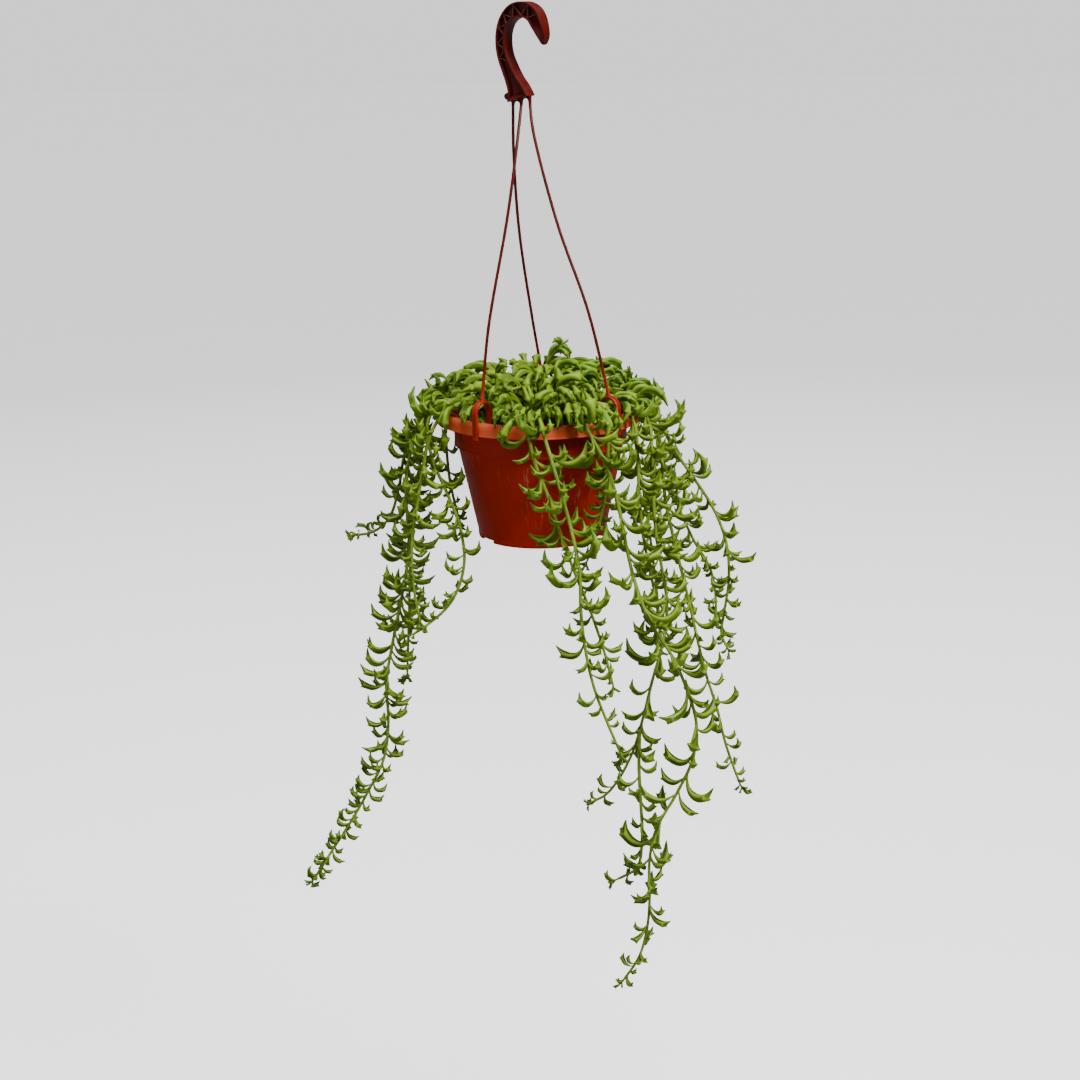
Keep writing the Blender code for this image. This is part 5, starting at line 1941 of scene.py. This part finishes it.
@dataclass(frozen=True)
class LeafForm:
    """Fine form of a leaf: stalk, fleshy sickle, a window, fins and a dark point, with painted
    shade on leaves low inside the mat.
    """

    stations: tuple[float, ...] = (
        0.0, 0.05, 0.10, 0.15, 0.20, 0.25, 0.30, 0.35, 0.40, 0.45, 0.50, 0.55, 0.60, 0.64,
        0.67, 0.69, 0.71, 0.73, 0.75, 0.775, 0.81, 0.85, 0.89, 0.93, 0.965)
    sides: int = 12
    plain_stations: tuple[int, ...] = (1, 3, 5, 7, 9, 11)
    plain_length: float = 21.0
    width: Table = (
        (0.0, 1.9), (0.12, 1.8), (0.24, 2.4), (0.36, 3.8), (0.48, 5.0), (0.60, 5.6),
        (0.70, 5.4), (0.78, 4.2), (0.86, 2.8), (0.94, 1.6), (1.0, 0.5))
    depth: Table = (
        (0.0, 1.9), (0.12, 1.9), (0.24, 2.8), (0.36, 5.0), (0.48, 6.9), (0.60, 7.2),
        (0.70, 6.2), (0.78, 4.5), (0.86, 3.0), (0.94, 1.6), (1.0, 0.5))
    fin_at: float = 0.71
    fin_rise: float = 0.13
    fin_fall: float = 0.05
    fin_reach: float = 3.1
    arched_fin_share: float = 0.6
    fin_spread: Pair = (0.75, 1.15)
    keels: tuple[float, ...] = (0.0, 0.0, 0.45, 0.7)
    keel_behind: float = 0.055
    twist: float = 0.35
    plump: Pair = (0.92, 1.08)
    blade_start: Pair = (0.22, 0.40)
    blade_end: Pair = (0.80, 0.96)
    ridge_at: float = 0.78
    ridge_width: float = 0.22
    hollow: float = 0.34
    fin_sweep: Pair = (0.70, 0.42)
    least_scale: float = 0.60
    # Painted shade on leaves low in the mat and inside the rim: how much tone it adds, and the
    # heights and radii over which it fades.
    painted_shade_tone: float = 0.9
    painted_shade_heights: Pair = (2.0, 26.0)
    painted_shade_radii: Pair = (66.0, 84.0)

    def add(self, shape: MeshBuilder, rng: random.Random, leaf: LeafCourse, youth: float,
            shift: Vector) -> None:
        """Add one leaf to a mesh.

        Args:
            shape: Mesh to add to.
            rng: Seeded source of chance.
            leaf: Where the leaf lies.
            youth: 1 where it is full grown.
            shift: From the leaf's root to the fine stem's middle line.
        """
        scale = max(leaf.scale, min(self.least_scale, leaf.length / 25.0))
        # Painted shade: leaves whose middle lies low and inside the rim get a higher tone, which
        # the skin darkens.
        middle = leaf.point(0.5)
        sunk = self.painted_shade_tone * (1.0 - smoothstep(*self.painted_shade_heights, middle.z)) * (
            1.0 - smoothstep(*self.painted_shade_radii, math.hypot(middle.x, middle.y)))
        tone, twist = rng.random() + sunk, rng.uniform(-self.twist, self.twist)
        plump = rng.uniform(*self.plump)
        reach_share = 1.0 if leaf.inward.z > 0.0 else self.arched_fin_share
        reaches = [self.fin_reach * reach_share * rng.uniform(*self.fin_spread)
                   for _ in range(2)]
        keel = self.fin_reach * rng.choice(self.keels)
        (ahead, back_swept), young = self.fin_sweep, 1.0 - youth
        rings = []
        for number, t in enumerate(self.stations):
            if leaf.length < self.plain_length and number in self.plain_stations:
                continue
            course, inward = leaf.frame(t)
            lean = twist * smoothstep(0.1, 0.8, t)
            side = leaf.side * math.cos(lean) + inward * math.sin(lean)
            inner = inward * math.cos(lean) - leaf.side * math.sin(lean)
            centre = leaf.point(t) + shift * (1.0 - smoothstep(0.0, 0.3, t))
            wide = table_value(self.width, t) * scale * plump / 2
            deep = table_value(self.depth, t) * scale * plump / 2
            rise = self._fin(t)
            blade = smoothstep(*self.blade_start, t) * (1.0 - smoothstep(*self.blade_end, t))
            ring = []
            for k in range(self.sides):
                turn = math.tau * k / self.sides
                x, y = math.sin(turn), math.cos(turn)
                from_ridge = (abs(x) - self.ridge_at) / self.ridge_width
                ridge = math.exp(-from_ridge ** 2) if y > 0.0 else 0.0
                hollow = self.hollow * (blade * max(0.0, y) ** 2 * (1.0 - ridge))
                spot = centre + side * (wide * x) + inner * (deep * y * (1.0 - hollow))
                reach = reaches[0 if x > 0 else 1] * min(scale, leaf.scale + 0.1)
                flank = max(0.0, abs(x) * 0.82 - y * 0.57) ** 6
                push = rise * flank * reach
                spot += (side * math.copysign(push, x) + course * (ahead * push * rise)
                         - inner * (back_swept * push))
                back = max(0.0, -y) ** 9 * keel * scale * self._fin(t - self.keel_behind)
                spot += course * (0.5 * back) - inner * back
                dark = max(smoothstep(0.955, 1.0, t), 0.5 * smoothstep(1.8, 3.4, push / scale))
                stripe = 0.90 * smoothstep(0.5, 0.9, abs(x)) * math.exp(-((y - 0.05) / 0.3) ** 2)
                keel_line = 0.7 * math.exp(-((y + 1.0) / 0.16) ** 2)
                ring.append(shape.add_point(
                    spot, tone=tone, along=t, leafy=1.0, young=young, tipped=dark,
                    window=blade * max(max(0.0, y) ** 1.5 * (1.0 - ridge), stripe),
                    ridge=max(blade * ridge, blade * keel_line, 0.45 * rise * flank)))
            rings.append(ring)
        shape.add_rings(rings, cap_end=False)
        tip = shape.add_point(leaf.point(1.0), tone=tone, along=1.0, leafy=1.0, young=young,
                              tipped=1.0, window=0.0, ridge=0.0)
        shape.add_fan(rings[-1], tip)

    def _fin(self, t: float) -> float:
        """Height of a fin at a share of the leaf's length: a slow rise and a sharp fall."""
        if t < self.fin_at:
            return max(0.0, 1.0 - (self.fin_at - t) / self.fin_rise) ** 1.5
        return max(0.0, 1.0 - (t - self.fin_at) / self.fin_fall)


@dataclass(frozen=True)
class StemForm:
    """Fine form of a stem: a thin fleshy cord with faint joints and a leafy growing tip."""

    base_radius: float = 1.5
    tip_radius: float = 1.05
    sides: int = 9
    step: float = 2.4
    curve_steps: int = 8
    swells: Pair = (5.0, 0.10)
    end_share: float = 0.55
    end_length: float = 6.0
    bud_leaves: int = 4
    bud_spiral: float = 137.5
    bud_spread: Pair = (12.0, 38.0)
    bud_lengths: Pair = (6.5, 10.5)
    bud_turn: Pair = (40.0, 95.0)
    bud_places: Pair = (0.5, 0.8)

    def curve(self, path: Path) -> Path:
        """Smooth line through the straight pieces of a stem's path."""
        return smooth_path(path, self.curve_steps)

    def add(self, shape: MeshBuilder, path: Path) -> None:
        """Add one stem to a mesh.

        Args:
            shape: Mesh to add to.
            path: The stem's straight pieces.
        """
        line = even_path(self.curve(path), self.step)
        total = len(line) - 1
        swell_length, swell = self.swells
        radii = []
        for i, point in enumerate(line):
            radius = lerp(self.base_radius, self.tip_radius, i / total)
            uneven = 1.0 + swell * noise.noise(point / swell_length)
            from_end = smoothstep(0.0, self.end_length, (total - i) * self.step)
            radii.append(radius * uneven * lerp(self.end_share, 1.0, from_end))
        shape.add_tube(line, radii, self.sides, tone=0.5, along=0.0, leafy=0.0, young=0.0,
                       tipped=0.0, window=0.0, ridge=0.0)

    def bud(self, rng: random.Random, path: Path) -> list[LeafCourse]:
        """Small leaves that close over the stem's growing tip.

        Args:
            rng: Seeded source of chance.
            path: The stem's straight pieces.

        Returns:
            The small leaves.
        """
        tangent = (path[-1] - path[-2]).normalized()
        first, gap = self.bud_places
        leaves = []
        for i in range(self.bud_leaves):
            out = outward_at(tangent, math.radians(self.bud_spiral) * i)
            spread = math.radians(rng.uniform(*self.bud_spread))
            heading, bend = leaning(tangent, out, spread, out * 0.8 + Vector((0, 0, 0.5)))
            length = rng.uniform(*self.bud_lengths)
            root = path[-1] - tangent * (gap * i + first)
            leaves.append(LeafCourse(root, heading, bend, length,
                                     math.radians(rng.uniform(*self.bud_turn))))
        return leaves


@dataclass(frozen=True)
class StringPlant:
    """All the leafy stems of the plant."""

    rule: GrowthRule
    leaf: LeafForm = LeafForm()
    stem: StemForm = StemForm()
    bud_youth: float = 0.15
    near: float = 2.0
    near_share: float = 0.6
    seed: int = 88

    def build(self, finish: Material) -> list[Object]:
        """Build one piece for each leafy stem, in the plant's skin."""
        return [self._leafy_stem(grown, number, finish)
                for number, grown in enumerate(self.rule.grow())]

    def _leafy_stem(self, grown: GrownStem, number: int, finish: Material) -> Object:
        """Build one stem with its branches and leaves.

        Args:
            grown: Where they lie.
            number: The stem's number, for its own seed.
            finish: The plant's skin.

        Returns:
            The piece.
        """
        rng = random.Random(self.seed + 31 * number)
        shape = MeshBuilder()
        curve = []
        for path in grown.paths:
            self.stem.add(shape, path)
            curve += self.stem.curve(path)
        for leaf, youth in grown.leaves:
            self.leaf.add(shape, rng, leaf, youth, self._shift(leaf.root, curve))
        for path in grown.paths:
            for leaf in self.stem.bud(rng, path):
                self.leaf.add(shape, rng, leaf, self.bud_youth, Vector())
        piece = shape.finish(grown.name + "_leafy", finish)
        return dress(piece, grown.name)

    def _shift(self, root: Vector, curve: Path) -> Vector:
        """From a leaf's root most of the way to the nearest point of the fine stems' lines."""
        nearest = min(curve, key=lambda point: (point - root).length_squared)
        away = nearest - root
        return away * self.near_share if away.length < self.near else Vector()


# The studio


@dataclass(frozen=True)
class SoftLight:
    """Soft square light that faces the plant: sizes in metres, power in watts."""

    name: str
    place: Colour
    side: float
    power: float
    colour: Colour

    def hang(self, target: Vector) -> None:
        """Hang the light, facing its target.

        Args:
            target: What it faces, in metres.
        """
        lamp = bpy.data.lights.new(self.name, "AREA")
        lamp.shape, lamp.size = "SQUARE", self.side
        lamp.energy, lamp.color = self.power, self.colour
        body = link_object(self.name, lamp)
        body.location = self.place
        way = target - Vector(self.place)
        body.rotation_euler = way.to_track_quat("-Z", "Y").to_euler()


@dataclass(frozen=True)
class Studio:
    """Pale floor, soft light and the camera."""

    lens: float = 36.0 * 1900.0 / 1080.0
    pitch: float = 15.45
    roll: float = -1.2
    eye: Triple = (0.0019, -1.4, 0.00148)
    floor_height: float = -1.06
    floor_reach: float = 30.0
    lights: tuple[SoftLight, ...] = (
        SoftLight("key", (1.3, -1.3, 1.3), 0.5, 44.0, (1.0, 0.97, 0.92)),
        SoftLight("fill", (-1.6, -1.3, 0.2), 1.6, 6.0, (1.0, 0.98, 0.96)))
    lit_height: float = -0.35
    overhead_power: float = 3.4
    overhead_angle: float = 40.0
    overhead_tilt: Pair = (18.0, 10.0)
    air: Colour = (1.0, 0.98, 0.92)
    air_heights: Pair = (-0.4, 0.9)
    air_strengths: Pair = (0.02, 0.14)
    seen_air: Colour = (0.93, 0.93, 0.95)
    seen_strength: float = 1.29

    def build(self, floor_finish: Material) -> None:
        """Set up the floor, the lights, the surroundings and the camera.

        Args:
            floor_finish: The floor's material.
        """
        self._floor(floor_finish)
        for light in self.lights:
            light.hang(Vector((0.0, 0.0, self.lit_height)))
        self._overhead()
        self._surroundings()
        self._camera()

    def _floor(self, finish: Material) -> None:
        """Lay the floor well below the hanging plant."""
        reach, low = self.floor_reach, self.floor_height
        mesh = bpy.data.meshes.new("studio_floor")
        mesh.from_pydata([(-reach, -reach, low), (reach, -reach, low), (reach, reach, low),
                          (-reach, reach, low)], [], [(0, 1, 2, 3)])
        mesh.materials.append(finish)
        link_object("studio_floor", mesh)

    def _overhead(self) -> None:
        """Let broad, even light fall from straight above."""
        lamp = bpy.data.lights.new("overhead", "SUN")
        lamp.energy, lamp.angle = self.overhead_power, math.radians(self.overhead_angle)
        body = link_object("overhead", lamp)
        body.rotation_euler = (*(math.radians(tilt) for tilt in self.overhead_tilt), 0.0)

    def _surroundings(self) -> None:
        """Fill the room with even pale light, seen in the floor's own tone."""
        world = bpy.data.worlds.new("studio_air")
        world.use_nodes = True
        bench = NodeBench(world.node_tree)
        air = world.node_tree.nodes["Background"]
        way = bench.add("ShaderNodeSeparateXYZ",
                        {"Vector": bench.add("ShaderNodeTexCoord").outputs["Generated"]})
        bench.set(air.inputs["Color"], self.air)
        bench.set(air.inputs["Strength"],
                  bench.ramp(way.outputs["Z"], *self.air_heights, *self.air_strengths))
        seen = bench.add("ShaderNodeBackground",
                         {"Color": self.seen_air, "Strength": self.seen_strength})
        bench.show_either(bench.add("ShaderNodeLightPath").outputs["Is Camera Ray"],
                          air.outputs["Background"], seen.outputs["Background"],
                          world.node_tree.nodes["World Output"])
        bpy.context.scene.world = world

    def _camera(self) -> None:
        """Set the camera where the plant was seen from."""
        pitch, roll = math.radians(self.pitch), math.radians(self.roll)
        ahead = Vector((0.0, math.cos(pitch), -math.sin(pitch)))
        right = Vector((1.0, 0.0, 0.0))
        up = right.cross(ahead)
        tilted_right = right * math.cos(roll) + up * math.sin(roll)
        tilted_up = up * math.cos(roll) - right * math.sin(roll)
        place = Matrix((tilted_right, tilted_up, -ahead)).transposed().to_4x4()
        place.translation = Vector(self.eye)
        data = bpy.data.cameras.new("camera")
        data.sensor_width, data.lens = 36.0, self.lens
        camera = link_object("camera", data)
        camera.matrix_world = place
        bpy.context.scene.camera = camera


def report(pieces: Iterable[Object]) -> None:
    """Say which pieces are built."""
    for piece in pieces:
        LOG.info("%s: %d faces", piece.name, len(piece.data.polygons))


def main() -> None:
    """Build the dressed part and its studio."""
    logging.basicConfig(level=logging.INFO, format="%(name)s %(message)s")
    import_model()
    effects = EffectLibrary()
    pot_plastic = MouldedPlastic(
        name="pot_plastic",
        colours=Mottle((0.530, 0.0150, 0.0003), (0.415, 0.0095, 0.0002), 38.0, 1.5),
        mark_and_highlight=(0.74, 0.36, 0.26), marks=0.62, dust=0.16, roughness=0.36, shine=0.20,
        # The rim's lighter colour is a painted highlight from the light above.
        light_band_and_tint=(0.70, 0.104, 0.028), light_band_heights=(-0.2915, -0.2895))
    hanger_plastic = MouldedPlastic(
        name="hanger_plastic",
        colours=Mottle((0.128, 0.0040, 0.0020), (0.080, 0.0030, 0.0014), 38.0, 1.5),
        mark_and_highlight=(0.46, 0.19, 0.15), marks=0.10, dust=0.12, roughness=0.32, shine=0.26,
        light_band_and_tint=(0.34, 0.020, 0.007), light_band_heights=(-0.240, -0.262))
    mix = LooseGrains(
        name="potting_mix", roughness=(0.98, 0.80), relief=Relief(900.0, 1.4, 0.8, 0.0012),
        colours=Mottle((0.050, 0.030, 0.017), (0.006, 0.004, 0.003), 260.0, 3.2))
    grit = LooseGrains(
        name="pale_grit", roughness=(0.80, 0.95), relief=Relief(2600.0, 0.5, 0.4, 0.0004),
        colours=Mottle((0.62, 0.60, 0.55), (0.32, 0.29, 0.24), 420.0, 2.2))

    pot = Pot()
    soil = Soil(pot)
    hanger = Hanger(pot)
    plant = StringPlant(GrowthRule(pot, soil, hanger))
    report([pot.build(pot_plastic.build(effects))])
    report(soil.build(mix.build(effects), grit.build(effects)))
    report(hanger.build(hanger_plastic.build(effects)))
    report(plant.build(FleshyGreen().build(effects)))
    Studio().build(PaleFloor().build(effects))


if __name__ == "__main__":
    main()
